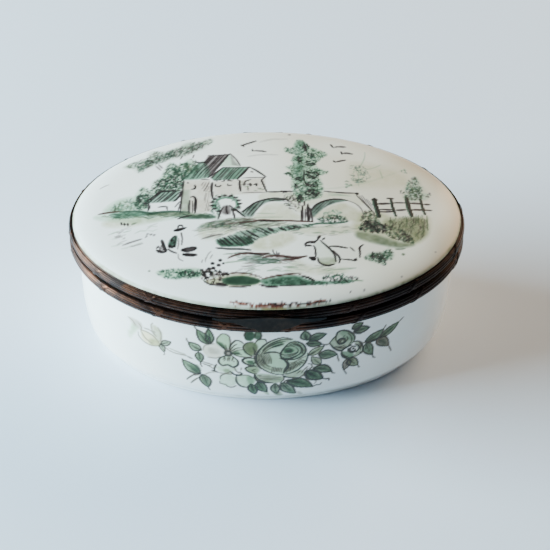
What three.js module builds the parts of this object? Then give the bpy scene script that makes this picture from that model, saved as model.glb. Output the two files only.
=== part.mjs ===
// Oval hinged powder jar: a glazed bowl and a domed glazed lid, each edged with a
// reeded metal mount, joined at the back by a five-knuckle hinge.
// Millimetres. +X runs along the jar, +Y to the hinge at the back, +Z up.
// The origin is the centre of the bowl's underside, on the table.

import * as THREE from "three";

const { degToRad, smoothstep } = THREE.MathUtils;

// Driving dimensions
const halfLength = 77.5; // outermost line of both mounts, along X
const halfWidth = 54.5; // the same, along Y
const roundSteps = 64; // facets round the oval
const evenEdge = 18; // width of the rim that is offset evenly
const clearance = 0.3; // kept between pieces that are bedded or soldered together

const mountBottom = 46.4; // lower edge of the bowl's mount
const mouldingHeight = 4.5; // each reeded moulding, top to bottom
const partingGap = 1.8; // shadow gap between the two mouldings when shut
const stripThickness = 0.7; // sheet that the mounts are rolled from
const mouldingReach = 1.2; // how far the moulding curls out from its edges

const wallInset = 3.9; // bowl's outer face under the mount, in from the oval
const wallThickness = 3.4;
const floorThickness = 4.2;

const panelInset = 1.8; // lid panel's edge, in from the oval
const panelThickness = 3.2;
const shoulderWidth = 10; // rounded edge of the lid
const shoulderRise = 2.2;
const crownRise = 4.75; // gentle dome over the rest of the lid

const bezelInset = 5.2; // collar that the lid's mount closes over
const bezelThickness = 1.0;
const bezelHeight = 3.3;
const bezelChamfer = 0.4;
const ledgeReach = 0.6; // from the collar's face out to the lid's ledge

const knuckleRadius = 1.6;
const knuckleBore = 0.95;
const knuckleLength = 4.8;
const knuckleGap = 0.3;
const knuckleCount = 5;
const knuckleTab = 3.4; // tab's end from the pin's axis
const knuckleTabThickness = 0.8;
const pinRadius = 0.75;
const pinHeadRadius = 1.25;
const hingeStandOff = 1.3; // pin's axis, out from the oval

const thumbHalfWidth = 21.5;
const thumbThickness = 0.9;
const thumbWingDrop = 0.5; // below the lid's moulding, along both wings
const thumbShieldDrop = 2.3; // further, over the parting gap
const thumbTipDrop = 1.3; // further still, at the tip under a fingernail
const thumbFlare = 0.8; // how far the tip leans outwards
const thumbWingTop = 1.1; // upper edge at the wings, up the lid's moulding
const thumbCrest = 1.9; // further, at the middle
const thumbEndRise = 0.3; // lower edge at the very ends, up the lid's moulding

// Heights worked out from those
const mountTop = mountBottom + mouldingHeight;
const lidMountBottom = mountTop + partingGap;
const lidMountTop = lidMountBottom + mouldingHeight;
const bowlRim = mountTop - stripThickness - 1.7;
const panelRim = lidMountBottom + stripThickness + 1.4;
const hingeHeight = (mountTop + lidMountBottom) / 2;
const hingeY = halfWidth + hingeStandOff;
const ledgeInset = bezelInset - ledgeReach;

const glaze = new THREE.MeshStandardMaterial({ color: 0xe9e8e2, roughness: 0.16, metalness: 0 });
const plaster = new THREE.MeshStandardMaterial({ color: 0xcfc8b8, roughness: 0.9, metalness: 0 });
const patina = new THREE.MeshStandardMaterial({ color: 0x5a4a40, roughness: 0.4, metalness: 0.9 });
const pinMetal = new THREE.MeshStandardMaterial({ color: 0x6b5848, roughness: 0.35, metalness: 0.9 });

const part = new THREE.Group();

function addMesh(name, geometry, material, parent = part) {
  const mesh = new THREE.Mesh(geometry, material);
  mesh.name = name;
  parent.add(mesh);
  return mesh;
}

// Turns a round shape into the oval. Its rim keeps an even offset from the oval's
// edge, and the middle, where that would cross the axis, is narrowed evenly.
function makeOval(geometry) {
  const core = halfLength - evenEdge;
  const position = geometry.attributes.position;
  for (let i = 0; i < position.count; i += 1) {
    const x = position.getX(i);
    const y = position.getY(i);
    const narrowing = 1 - (halfLength - halfWidth) / Math.max(Math.hypot(x, y), core);
    position.setY(i, y * narrowing);
  }
  geometry.computeVertexNormals();
  return geometry;
}

// A profile is a list of [distance in from the oval, height].
function ovalTurning(profile) {
  const points = profile.map(([inset, height]) => new THREE.Vector2(halfLength - inset, height));
  const geometry = new THREE.LatheGeometry(points, roundSteps);
  geometry.rotateX(Math.PI / 2);
  return makeOval(geometry);
}

function ovalRing(profile) {
  return ovalTurning([...profile, profile[0]]);
}

// Bowl: bellied wall, flat underside, and a floor with a soft inner corner
function makeBowl() {
  const axis = halfLength;
  const inner = wallInset + wallThickness;
  return ovalTurning([
    [axis, 0],
    [11.8, 0],
    [10.7, 1.5],
    [9, 4],
    [6.6, 7.8],
    [5.3, 14],
    [4.4, 22],
    [wallInset, 33],
    [wallInset, bowlRim],
    [inner, bowlRim],
    [inner, 33],
    [inner + 0.5, 22],
    [inner + 1.4, 14],
    [inner + 3, 9],
    [inner + 5.6, 5.6],
    [inner + 10, floorThickness],
    [axis, floorThickness],
  ]);
}

// The curled moulding, from its lower edge to its upper edge
function mouldingCurve(bottom, depth) {
  const middle = bottom + mouldingHeight / 2;
  const half = mouldingHeight / 2 - depth;
  const reach = mouldingReach - depth;
  return [-90, -40, 0, 40, 90].map((degrees) => {
    const angle = degToRad(degrees);
    return [mouldingReach - reach * Math.cos(angle), middle + half * Math.sin(angle)];
  });
}

// Bowl's mount: the moulding, a flat top over the rim, and a skirt inside
function makeBaseMount() {
  const skirt = wallInset + wallThickness + clearance;
  const underside = mountTop - stripThickness;
  return ovalRing([
    [wallInset - clearance, mountBottom],
    ...mouldingCurve(mountBottom, 0),
    [skirt + stripThickness, mountTop],
    [skirt + stripThickness, bowlRim - 1],
    [skirt, bowlRim - 1],
    [skirt, underside],
    ...mouldingCurve(mountBottom, stripThickness).reverse(),
    [wallInset - clearance, mountBottom + stripThickness],
  ]);
}

function makeBaseCement() {
  const outer = wallInset + clearance;
  const inner = wallInset + wallThickness - clearance;
  const bottom = bowlRim + clearance;
  const top = mountTop - stripThickness - clearance;
  return ovalRing([[outer, bottom], [outer, top], [inner, top], [inner, bottom]]);
}

function makeBezel() {
  const inner = bezelInset + bezelThickness;
  const bottom = mountTop + clearance;
  const top = bottom + bezelHeight;
  return ovalRing([
    [bezelInset, bottom],
    [bezelInset, top - bezelChamfer],
    [bezelInset + bezelChamfer, top],
    [inner, top],
    [inner, bottom],
  ]);
}

// Lid's mount: the moulding, and a flat ledge that carries the panel
function makeLidMount() {
  return ovalRing([
    [ledgeInset, lidMountBottom],
    ...mouldingCurve(lidMountBottom, 0),
    [panelInset - clearance, lidMountTop],
    [panelInset - clearance, lidMountTop - stripThickness],
    ...mouldingCurve(lidMountBottom, stripThickness).reverse(),
    [ledgeInset, lidMountBottom + stripThickness],
  ]);
}

function makeLidCement() {
  const outer = panelInset + clearance;
  const bottom = lidMountBottom + stripThickness + clearance;
  const top = panelRim - clearance;
  return ovalRing([[outer, bottom], [outer, top], [ledgeInset, top], [ledgeInset, bottom]]);
}

// Height of the lid's outer face at a distance in from the oval
function domeHeight(inset) {
  const across = Math.min((inset - panelInset) / shoulderWidth, 1);
  const shoulder = shoulderRise * Math.sqrt(1 - (1 - across) ** 2);
  const reach = (halfLength - inset) / (halfLength - panelInset);
  return lidMountTop + shoulder + crownRise * (1 - reach ** 2);
}

function makeLidPanel() {
  const liningShift = 1.6; // keeps the panel's thickness even round its shoulder
  const insets = [2.1, 2.9, 4.4, 7, 11.8, 20, 32, 46, 61, halfLength];
  const outside = insets.map((inset) => [inset, domeHeight(inset)]);
  const lining = insets.slice(2).map((inset) => {
    const deeper = Math.min(inset + liningShift, halfLength);
    return [deeper, domeHeight(deeper) - panelThickness];
  });
  return ovalTurning([
    ...lining.reverse(),
    [panelInset + panelThickness, panelRim],
    [panelInset, panelRim],
    [panelInset, lidMountTop],
    ...outside,
  ]);
}

// How far the thumbpiece's lower edge hangs below the lid's moulding, at a place along X
function thumbDrop(x) {
  const away = Math.abs(x);
  const wing = thumbWingDrop * (1 - smoothstep(away, thumbHalfWidth - 4, thumbHalfWidth));
  const shield = thumbShieldDrop * (1 - smoothstep(away, 6, 14));
  const tip = thumbTipDrop * (1 - smoothstep(away, 3, 6.2));
  return wing + shield + tip;
}

// Thumbpiece: a thin cupid's bow of sheet that follows the front of the lid's mount
function makeThumbpiece() {
  const stepsAlong = 40;
  const stepsDown = 3;
  const geometry = new THREE.BoxGeometry(2, 1, 1, stepsAlong, stepsDown, 1);
  const position = geometry.attributes.position;
  const fullDrop = thumbDrop(0);
  for (let i = 0; i < position.count; i += 1) {
    const x = position.getX(i) * thumbHalfWidth;
    const down = 0.5 - position.getY(i);
    const front = position.getZ(i) + 0.5;
    const taper = 1 - smoothstep(Math.abs(x), 0, thumbHalfWidth);
    const upper = lidMountBottom + thumbWingTop + thumbCrest * taper;
    const lower = lidMountBottom + thumbEndRise - thumbDrop(x);
    const height = upper + (lower - upper) * down;
    const lean = thumbFlare * (thumbDrop(x) / fullDrop) * down ** 2;
    const outset = clearance + lean + thumbThickness * front;
    const y = -(halfWidth + outset) * Math.sqrt(1 - (x / (halfLength + outset)) ** 2);
    position.setXYZ(i, x, y, height);
  }
  geometry.computeVertexNormals();
  return geometry;
}

// Knuckle: a barrel with a tab that lies against its mount. side is -1 for a tab
// that hangs down on the bowl's mount, and 1 for one that stands up on the lid's.
function makeKnuckle(side) {
  const tabInner = -(hingeStandOff - clearance);
  const tabOuter = tabInner + knuckleTabThickness;
  const shape = new THREE.Shape();
  const startAngle = -Math.acos(tabOuter / knuckleRadius);
  const endAngle = 2 * Math.PI - Math.acos(tabInner / knuckleRadius);
  shape.moveTo(tabInner, -knuckleTab);
  shape.lineTo(tabOuter, -knuckleTab);
  shape.absarc(0, 0, knuckleRadius, startAngle, endAngle, false);
  shape.closePath();
  const bore = new THREE.Path();
  bore.absarc(0, 0, knuckleBore, 0, 2 * Math.PI, true);
  shape.holes.push(bore);
  const geometry = new THREE.ExtrudeGeometry(shape, {
    depth: knuckleLength,
    bevelEnabled: false,
    curveSegments: 10,
  });
  geometry.translate(0, 0, -knuckleLength / 2);
  // the outline's x becomes Y, its y becomes Z, and the extrusion runs along X
  geometry.rotateY(Math.PI / 2);
  geometry.rotateX(Math.PI / 2);
  if (side < 0) {
    return geometry;
  }
  geometry.rotateX(Math.PI);
  geometry.rotateZ(Math.PI);
  return geometry;
}

function makePin() {
  const half = (knuckleCount * knuckleLength + (knuckleCount - 1) * knuckleGap) / 2 + clearance;
  const head = 0.9;
  const points = [
    [0, -half - head],
    [pinHeadRadius * 0.7, -half - head],
    [pinHeadRadius, -half - head / 2],
    [pinHeadRadius, -half],
    [pinRadius, -half],
    [pinRadius, half],
    [pinHeadRadius, half],
    [pinHeadRadius, half + head / 2],
    [pinHeadRadius * 0.7, half + head],
    [0, half + head],
  ].map(([radius, along]) => new THREE.Vector2(radius, along));
  const geometry = new THREE.LatheGeometry(points, 20);
  geometry.rotateZ(-Math.PI / 2);
  return geometry;
}

addMesh("base_bowl", makeBowl(), glaze);
addMesh("base_cement", makeBaseCement(), plaster);
addMesh("base_mount", makeBaseMount(), patina);
addMesh("base_bezel", makeBezel(), patina);

const lid = new THREE.Group();
part.add(lid);
addMesh("lid_panel", makeLidPanel(), glaze, lid);
addMesh("lid_cement", makeLidCement(), plaster, lid);
addMesh("lid_mount", makeLidMount(), patina, lid);
addMesh("thumbpiece", makeThumbpiece(), patina, lid);

const hinge = new THREE.Group();
hinge.position.set(0, hingeY, hingeHeight);
part.add(hinge);
const knuckleNames = [
  "base_knuckle_left",
  "lid_knuckle_left",
  "base_knuckle_middle",
  "lid_knuckle_right",
  "base_knuckle_right",
];
knuckleNames.forEach((name, index) => {
  const side = name.startsWith("lid") ? 1 : -1;
  const knuckle = addMesh(name, makeKnuckle(side), patina, hinge);
  const place = index - (knuckleCount - 1) / 2;
  knuckle.position.x = place * (knuckleLength + knuckleGap);
});
addMesh("hinge_pin", makePin(), pinMetal, hinge);

export default part;
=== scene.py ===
import math

import bpy
import numpy
from mathutils import Matrix, Vector


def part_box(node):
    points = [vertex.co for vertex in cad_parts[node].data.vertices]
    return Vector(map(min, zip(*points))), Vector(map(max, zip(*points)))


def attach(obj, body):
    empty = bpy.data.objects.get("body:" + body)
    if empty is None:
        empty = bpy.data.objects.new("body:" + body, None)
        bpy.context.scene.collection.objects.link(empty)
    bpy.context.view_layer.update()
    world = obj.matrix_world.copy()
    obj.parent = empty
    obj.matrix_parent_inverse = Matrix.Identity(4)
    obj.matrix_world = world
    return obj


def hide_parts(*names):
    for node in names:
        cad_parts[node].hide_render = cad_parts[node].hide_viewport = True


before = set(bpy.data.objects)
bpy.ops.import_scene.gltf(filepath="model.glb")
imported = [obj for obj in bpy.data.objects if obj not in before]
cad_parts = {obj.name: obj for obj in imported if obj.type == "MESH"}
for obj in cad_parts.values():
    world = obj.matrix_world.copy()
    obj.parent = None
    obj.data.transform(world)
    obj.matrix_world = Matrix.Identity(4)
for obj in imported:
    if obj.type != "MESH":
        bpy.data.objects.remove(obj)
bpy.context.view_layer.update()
print("frame loaded:", len(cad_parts), "nodes")

mm = 0.001
lidLow, lidHigh = [[value / mm for value in corner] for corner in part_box("lid_mount")]
rimLow, rimHigh = [[value / mm for value in corner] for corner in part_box("base_mount")]
panelLow, panelHigh = [[value / mm for value in corner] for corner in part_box("lid_panel")]
bezelLow, bezelHigh = [[value / mm for value in corner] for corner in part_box("base_bezel")]

oval = {"halfLength": rimHigh[0], "halfWidth": rimHigh[1], "evenEdge": 18}


# camera, floor and light
view = {
    "target": (0, 0, 0.025),
    "distance": 0.9,
    "turn": -1.53,  # degrees, from straight in front
    "elevation": 42.39,
    "roll": 0.63,
    "lens": 147.3,
    "sensor": 36,
    "shift": (0.0159, 0.0062),
    "nearest": 0.05,
    "farthest": 20,
}
turn = math.radians(view["turn"])
elevation = math.radians(view["elevation"])
roll = math.radians(view["roll"])
back = Vector((
    math.sin(turn) * math.cos(elevation),
    -math.cos(turn) * math.cos(elevation),
    math.sin(elevation),
))
level = Vector((math.cos(turn), math.sin(turn), 0))
upright = back.cross(level)
right = math.cos(roll) * level + math.sin(roll) * upright
upwards = math.cos(roll) * upright - math.sin(roll) * level
bpy.ops.object.select_all(action="DESELECT")
bpy.ops.object.camera_add()
camera = bpy.context.object
camera.name = "camera"
camera.data.lens = view["lens"]
camera.data.sensor_width = view["sensor"]
camera.data.shift_x, camera.data.shift_y = view["shift"]
camera.data.clip_start = view["nearest"]
camera.data.clip_end = view["farthest"]
camera.matrix_world = Matrix.Translation(Vector(view["target"]) + back * view["distance"]) @ Matrix(
    (right, upwards, back)
).transposed().to_4x4()
bpy.context.scene.camera = camera

lightTarget = Vector((0, 0, 0.03))
lights = [
    # name, place, size, watts, colour
    ("windowLight", (-1.2, 0.0, 0.35), 1.0, 124, (0.66, 0.90, 1.0)),
    ("roomGlow", (0.9, 0.9, 0.6), 1.0, 24, (1.0, 0.78, 0.52)),
]
for name, place, size, watts, colour in lights:
    bpy.ops.object.light_add(type="AREA", location=place)
    lamp = bpy.context.object
    lamp.name = name
    lamp.data.size = size
    lamp.data.energy = watts
    lamp.data.color = colour
    lamp.rotation_euler = (lightTarget - Vector(place)).to_track_quat("-Z", "Y").to_euler()

room = {"colour": (0.84, 0.93, 1.0, 1), "strength": 0.12}
world = bpy.data.worlds.new("softRoom")
bpy.context.scene.world = world
world.use_nodes = True
background = world.node_tree.nodes["Background"]
background.inputs["Color"].default_value = room["colour"]
background.inputs["Strength"].default_value = room["strength"]


# materials
class Wire:
    # a socket that Python's operators can work on, each adding its own Math node
    def __init__(self, tree, socket):
        self.tree = tree
        self.socket = socket

    def math(self, operation, first, second=None, clamp=False):
        node = self.tree.nodes.new("ShaderNodeMath")
        node.operation = operation
        node.use_clamp = clamp
        for place, value in enumerate((first, second)):
            if isinstance(value, Wire):
                self.tree.links.new(value.socket, node.inputs[place])
            elif value is not None:
                node.inputs[place].default_value = value
        return Wire(self.tree, node.outputs[0])

    def __add__(self, other):
        return self.math("ADD", self, other)

    def __radd__(self, other):
        return self.math("ADD", other, self)

    def __sub__(self, other):
        return self.math("SUBTRACT", self, other)

    def __mul__(self, other):
        return self.math("MULTIPLY", self, other)

    def __rmul__(self, other):
        return self.math("MULTIPLY", other, self)

    def clamped(self):
        return self.math("MULTIPLY", self, 1.0, clamp=True)


class Finish:
    # one material: its nodes, and the Principled shader that they feed
    def __init__(self, name, **fixed):
        self.material = bpy.data.materials.new(name)
        self.material.use_nodes = True
        self.tree = self.material.node_tree
        self.shader = self.tree.nodes["Principled BSDF"]
        for socket, value in fixed.items():
            self.shader.inputs[socket.replace("_", " ")].default_value = value

    def add(self, kind, settings=None, sockets=None, output=0):
        node = self.tree.nodes.new("ShaderNode" + kind)
        for key, value in (settings or {}).items():
            setattr(node, key, value)
        for key, value in (sockets or {}).items():
            if isinstance(value, Wire):
                self.tree.links.new(value.socket, node.inputs[key])
            else:
                node.inputs[key].default_value = value
        return Wire(self.tree, node.outputs[output])

    def feed(self, socket, wire):
        self.tree.links.new(wire.socket, self.shader.inputs[socket])

    def place(self):
        return self.add("TexCoord", output="Object")

    def noise(self, scale, detail=3.0, roughness=0.5, distortion=0.0):
        return self.add(
            "TexNoise",
            sockets={
                "Vector": self.place(),
                "Scale": scale,
                "Detail": detail,
                "Roughness": roughness,
                "Distortion": distortion,
            },
        )

    def band(self, wire, low, high):
        return self.add("MapRange", sockets={"Value": wire, "From Min": low, "From Max": high})

    def mix(self, factor, first, second, blend="MIX"):
        sockets = {"Factor": factor, 6: first, 7: second}
        return self.add("Mix", {"data_type": "RGBA", "blend_type": blend}, sockets, output=2)

    def bump(self, height, strength, distance, below=None):
        sockets = {"Height": height, "Strength": strength, "Distance": distance}
        if below:
            sockets["Normal"] = below
        return self.add("Bump", sockets=sockets)


def linear(value):
    # screen value, 0 to 255, as light
    return ((value / 255 + 0.055) / 1.055) ** 2.4 if value > 10 else value / 3294


def rgba(*colour):
    return (*map(linear, colour), 1)


def makeGlaze():
    # glossy tin-white glaze; the painting is held in the "paint" attribute
    glaze = Finish("tinGlaze", IOR=1.5, Specular_IOR_Level=0.22)
    cloudy = glaze.band(glaze.noise(22, 4, 0.6), 0.35, 0.68)
    white = glaze.mix(cloudy, rgba(247, 246, 240), rgba(242, 242, 238))
    paint = glaze.add("Attribute", {"attribute_name": "paint"}, output="Color")
    body = glaze.mix(1.0, white, paint, "MULTIPLY")
    pinholes = glaze.add("TexVoronoi", sockets={"Vector": glaze.place(), "Scale": 95.0}, output="Distance")
    seldom = glaze.band(glaze.noise(140, 1, 0.5), 0.60, 0.68)
    pits = (glaze.band(pinholes, 0.075, 0.03) * seldom).clamped()
    body = glaze.mix(pits * 0.7, body, rgba(96, 84, 70))
    glaze.feed("Base Color", body)
    laid = glaze.add("Attribute", {"attribute_name": "laid"}, output="Fac")
    glaze.feed("Roughness", 0.13 + 0.10 * glaze.noise(60, 3, 0.6) + 0.16 * laid)
    ripple = glaze.noise(55, 2, 0.4) + 0.25 * glaze.noise(420, 2, 0.5)
    normal = glaze.bump(ripple, 0.10, 0.0006)
    normal = glaze.bump(laid, 0.22, 0.00008, normal)
    glaze.feed("Normal", normal)
    return glaze.material


def makePatina(name, dark, brown, copper, shine):
    # old copper alloy: nearly black in the hollows, brown and copper where it is rubbed and where painted
    # light is laid on, strongest at the mounts' left
    metal = Finish(name, Metallic=1.0, IOR=1.5)
    wornAndLit = metal.add("Attribute", {"attribute_name": "wearAndLight"}, output="Fac")
    patches = metal.band(metal.noise(70, 4, 0.6, distortion=0.6), 0.42, 0.66)
    flecks = metal.band(metal.noise(620, 3, 0.7), 0.40, 0.75)
    warm = (patches * (0.15 + 0.85 * wornAndLit) * (0.55 + 0.45 * flecks)).clamped()
    tone = metal.mix((0.15 + 0.7 * wornAndLit * flecks).clamped(), rgba(*dark), rgba(*brown))
    tone = metal.mix(warm, tone, rgba(*copper))
    metal.feed("Base Color", tone)
    metal.feed("Roughness", (shine + 0.28 * metal.noise(300, 4, 0.65) - 0.08 * wornAndLit).clamped())
    pitted = metal.noise(900, 3, 0.6) + 0.8 * metal.noise(230, 3, 0.6)
    metal.feed("Normal", metal.bump(pitted, 0.30, 0.00012))
    return metal.material


def makePlaster():
    plaster = Finish("beddingPlaster", IOR=1.45)
    tone = plaster.mix(plaster.noise(160, 5, 0.65), rgba(176, 166, 148), rgba(214, 207, 192))
    plaster.feed("Base Color", tone)
    plaster.feed("Roughness", 0.82 + 0.12 * plaster.noise(300, 3, 0.6))
    plaster.feed("Normal", plaster.bump(plaster.noise(900, 4, 0.7), 0.5, 0.0002))
    return plaster.material


def makeTable():
    table = Finish("paleTable", IOR=1.4)
    table.feed("Base Color", table.mix(table.noise(3, 2, 0.5), rgba(216, 226, 241), rgba(220, 229, 242)))
    table.feed("Roughness", 0.55 + 0.1 * table.noise(30, 2, 0.5))
    return table.material


tinGlaze = makeGlaze()
rimPatina = makePatina("rimPatina", (20, 17, 17), (66, 54, 50), (112, 72, 52), 0.26)
darkPatina = makePatina("darkPatina", (20, 23, 25), (44, 48, 48), (84, 66, 54), 0.30)
hingePatina = makePatina("hingePatina", (26, 21, 18), (70, 58, 48), (104, 72, 52), 0.34)
plaster = makePlaster()
print("materials made")


# floor
bpy.ops.object.select_all(action="DESELECT")
bpy.ops.mesh.primitive_plane_add(size=8)
table = bpy.context.object
table.name = "table"
table.data.materials.append(makeTable())


# shapes round the oval
def narrowing(radius):
    # keeps an even offset near the rim, and an even shape inside, as the jar itself does
    spare = oval["halfLength"] - oval["halfWidth"]
    return 1 - spare / numpy.maximum(radius, oval["halfLength"] - oval["evenEdge"])


def ovalPoint(inset, angle, height):
    # angle 0 is at the front, and grows towards +X
    radius = oval["halfLength"] - inset
    x = radius * numpy.sin(angle)
    y = -radius * numpy.cos(angle) * narrowing(radius)
    return numpy.stack(numpy.broadcast_arrays(x, y, height), -1)


def arcTable(inset):
    # pairs of angle and length along the oval, from its front
    angle = numpy.linspace(-math.pi, math.pi, 2881)
    points = ovalPoint(inset, angle, 0.0)
    steps = numpy.linalg.norm(numpy.diff(points, axis=0), axis=1)
    length = numpy.concatenate([[0], numpy.cumsum(steps)])
    return angle, length - length[len(length) // 2]


def domeHeight(inset):
    # outer face of the lid
    rise = panelHigh[2] - lidHigh[2]
    shoulder = lidShape["shoulderRise"]
    across = numpy.clip((inset - lidShape["edge"]) / lidShape["shoulderWidth"], 0, 1)
    reach = (oval["halfLength"] - inset) / (oval["halfLength"] - lidShape["edge"])
    curve = shoulder * numpy.sqrt(1 - (1 - across) ** 2)
    return lidHigh[2] + curve + (rise - shoulder) * (1 - reach**2)


def smoothstep(value, low, high):
    share = numpy.clip((value - low) / (high - low), 0, 1)
    return share * share * (3 - 2 * share)


lidShape = {
    "edge": 1.8,  # of the glaze, in from the moulding's face
    "shoulderWidth": 10,
    "shoulderRise": 2.2,
    "thickness": 3.2,
    "cells": (360, 240),
    "liningCells": (90, 60),
    "liningInset": 6.0,
    "rimInset": 5.0,
    "lowered": 20,  # the lining's edge stands clear below while the two edges are joined
}


def getPoints(piece):
    points = numpy.empty(len(piece.data.vertices) * 3)
    piece.data.vertices.foreach_get("co", points)
    return points.reshape(-1, 3) / mm


def setPoints(piece, points):
    piece.data.vertices.foreach_set("co", (points * mm).ravel())
    piece.data.update()


def setNumbers(piece, name, values):
    attribute = piece.data.attributes.new(name, "FLOAT", "POINT")
    attribute.data.foreach_set("value", values.astype(numpy.float32))


def closeUp(piece, angle=40, threshold=0.0008):
    # merges doubles, points the faces outwards and shades the piece
    bpy.ops.object.select_all(action="DESELECT")
    piece.select_set(True)
    bpy.context.view_layer.objects.active = piece
    bpy.ops.object.mode_set(mode="EDIT")
    bpy.ops.mesh.select_all(action="SELECT")
    bpy.ops.mesh.remove_doubles(threshold=threshold * mm)
    bpy.ops.mesh.normals_make_consistent(inside=False)
    bpy.ops.object.mode_set(mode="OBJECT")
    bpy.ops.object.shade_smooth_by_angle(angle=math.radians(angle))


def turned(name, profile, steps, closed=True, crowd=0.0, angle=40):
    # a profile of [inset, height] spun round, then drawn in to the oval
    bpy.ops.object.select_all(action="DESELECT")
    bpy.ops.mesh.primitive_circle_add(vertices=len(profile), radius=1)
    piece = bpy.context.object
    piece.name = name
    points = numpy.array([(oval["halfLength"] - inset, 0, height) for inset, height in profile])
    setPoints(piece, points)
    last = len(profile) - 1
    for edge in piece.data.edges:
        edge.select = not closed and set(edge.vertices) == {0, last}
    for vertex in piece.data.vertices:
        vertex.select = not closed and vertex.index in (0, last)
    bpy.ops.object.mode_set(mode="EDIT")
    if not closed:
        bpy.ops.mesh.select_mode(type="EDGE")
        bpy.ops.mesh.delete(type="EDGE")
        bpy.ops.mesh.select_mode(type="VERT")
    bpy.ops.mesh.select_all(action="SELECT")
    bpy.ops.mesh.spin(steps=steps, angle=2 * math.pi, center=(0, 0, 0), axis=(0, 0, 1))
    bpy.ops.object.mode_set(mode="OBJECT")
    closeUp(piece, angle)
    points = getPoints(piece)
    radius = numpy.hypot(points[:, 0], points[:, 1])
    around = numpy.arctan2(points[:, 0], -points[:, 1])
    around = around - crowd * numpy.sin(around)
    inset = oval["halfLength"] - radius
    setPoints(piece, ovalPoint(inset, around, points[:, 2]))
    return piece, inset, around


def finishPiece(piece, material, body, slotName, *nodes):
    piece.data.materials.clear()
    piece.data.materials.append(material)
    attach(piece, body)
    if nodes:
        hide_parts(*nodes)
    return piece


# bowl
bowl = {
    "foot": [(11.8, 0), (11.3, 0.25), (10.9, 0.9), (10.4, 1.9), (9.7, 3.0)],
    "wall": [(3, 9.7), (4, 9.0), (5.8, 7.75), (7.8, 6.6), (10.5, 5.85), (14, 5.3), (18, 4.8), (22, 4.4),
        (33, 3.95), (51, 3.9)],
    "rim": 48.5,
    "row": 0.395,
    "inside": [(7.3, 48.5), (7.3, 33), (7.8, 22), (8.7, 14), (9.6, 10.5), (11.2, 7.4), (13.2, 5.5),
        (16.5, 4.5), (20, 4.2)],
    "steps": 712,
    "crowd": 0.45,
}
heights = numpy.arange(bowl["foot"][-1][1] + bowl["row"], bowl["rim"] - 1.5, bowl["row"])
wallHeights, wallInsets = numpy.array(bowl["wall"]).T
kernel = numpy.hanning(9) / numpy.hanning(9).sum()
dense = numpy.arange(wallHeights[0], wallHeights[-1], 0.25)
smooth = numpy.convolve(numpy.pad(numpy.interp(dense, wallHeights, wallInsets), 4, "edge"), kernel, "valid")
outside = [(float(numpy.interp(height, dense, smooth)), float(height)) for height in heights]
axis = oval["halfLength"]
profile = [(axis, 0), (30, 0), *bowl["foot"], *outside, (3.9, bowl["rim"] - 0.4), (4.3, bowl["rim"])]
profile += [(6.9, bowl["rim"]), (7.3, bowl["rim"] - 0.4), *bowl["inside"][1:], (45, 4.2), (axis, 4.2)]
bowlPiece, bowlInset, bowlAround = turned("glazedBowl", profile, bowl["steps"], False, bowl["crowd"], 50)
print("bowl turned:", len(bowlPiece.data.vertices), "points")


# lid: a dense dome, and a plain lining under it, joined along their edges
def roundGrid(name, across, along, inset):
    bpy.ops.object.select_all(action="DESELECT")
    bpy.ops.mesh.primitive_grid_add(x_subdivisions=across, y_subdivisions=along, size=2)
    piece = bpy.context.object
    piece.name = name
    u, v, w = (getPoints(piece) * mm).T
    x = u * numpy.sqrt(1 - v * v / 2)
    y = v * numpy.sqrt(1 - u * u / 2)
    radius = numpy.hypot(x, y) * (oval["halfLength"] - inset)
    angle = numpy.arctan2(x, -y)
    return piece, oval["halfLength"] - radius, angle


def selectOpenEdges():
    bpy.ops.object.mode_set(mode="EDIT")
    bpy.ops.mesh.select_all(action="DESELECT")
    bpy.ops.mesh.select_mode(type="EDGE")
    bpy.ops.mesh.select_non_manifold(
        extend=False, use_wire=False, use_multi_face=False, use_non_contiguous=False
    )


def extrudeEdge(piece, change):
    selectOpenEdges()
    bpy.ops.mesh.extrude_edges_move()
    bpy.ops.object.mode_set(mode="OBJECT")
    picked = numpy.array([vertex.select for vertex in piece.data.vertices])
    points = getPoints(piece)
    points[picked] = change(points[picked])
    setPoints(piece, points)


lidPiece, inset, angle = roundGrid("glazedLid", *lidShape["cells"], lidShape["edge"] + 0.05)
setPoints(lidPiece, ovalPoint(inset, angle, domeHeight(inset)))
panelRim = panelLow[2]
extrudeEdge(lidPiece, lambda points: points * (1, 1, 0) + (0, 0, panelRim))
lining, inset, angle = roundGrid("lining", *lidShape["liningCells"], lidShape["liningInset"])
setPoints(lining, ovalPoint(inset, angle, domeHeight(inset) - lidShape["thickness"]))
outwards = (oval["halfLength"] - lidShape["rimInset"]) / (oval["halfLength"] - lidShape["liningInset"])
joinHeight = panelRim - lidShape["lowered"]
extrudeEdge(lining, lambda points: points * (outwards, outwards, 0) + (0, 0, joinHeight))
bpy.ops.object.select_all(action="DESELECT")
lining.select_set(True)
lidPiece.select_set(True)
bpy.context.view_layer.objects.active = lidPiece
bpy.ops.object.join()
selectOpenEdges()
bpy.ops.mesh.bridge_edge_loops()
bpy.ops.mesh.select_mode(type="VERT")
bpy.ops.object.mode_set(mode="OBJECT")
points = getPoints(lidPiece)
points[:, 2] = numpy.maximum(points[:, 2], panelRim)
setPoints(lidPiece, points)
closeUp(lidPiece, 50)
print("lid shaped:", len(lidPiece.data.vertices), "points")


# reeded mounts with crossed ribbon ties
reeds = {
    "reach": 0.74,
    "bulge": 0.30,
    "count": 4,
    "back": 1.2,
    "ease": 0.22,
    "steps": 480,
    "samples": 8,
}


def mouldingPoint(theta, lift, middle, halfHeight):
    # inset and height on the moulding's round face, raised by lift
    outX = numpy.cos(theta) / reeds["reach"]
    outZ = numpy.sin(theta) / halfHeight
    size = numpy.hypot(outX, outZ)
    inset = reeds["back"] - reeds["reach"] * numpy.cos(theta) - lift * outX / size
    height = middle + halfHeight * numpy.sin(theta) + lift * outZ / size
    return inset, height


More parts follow.
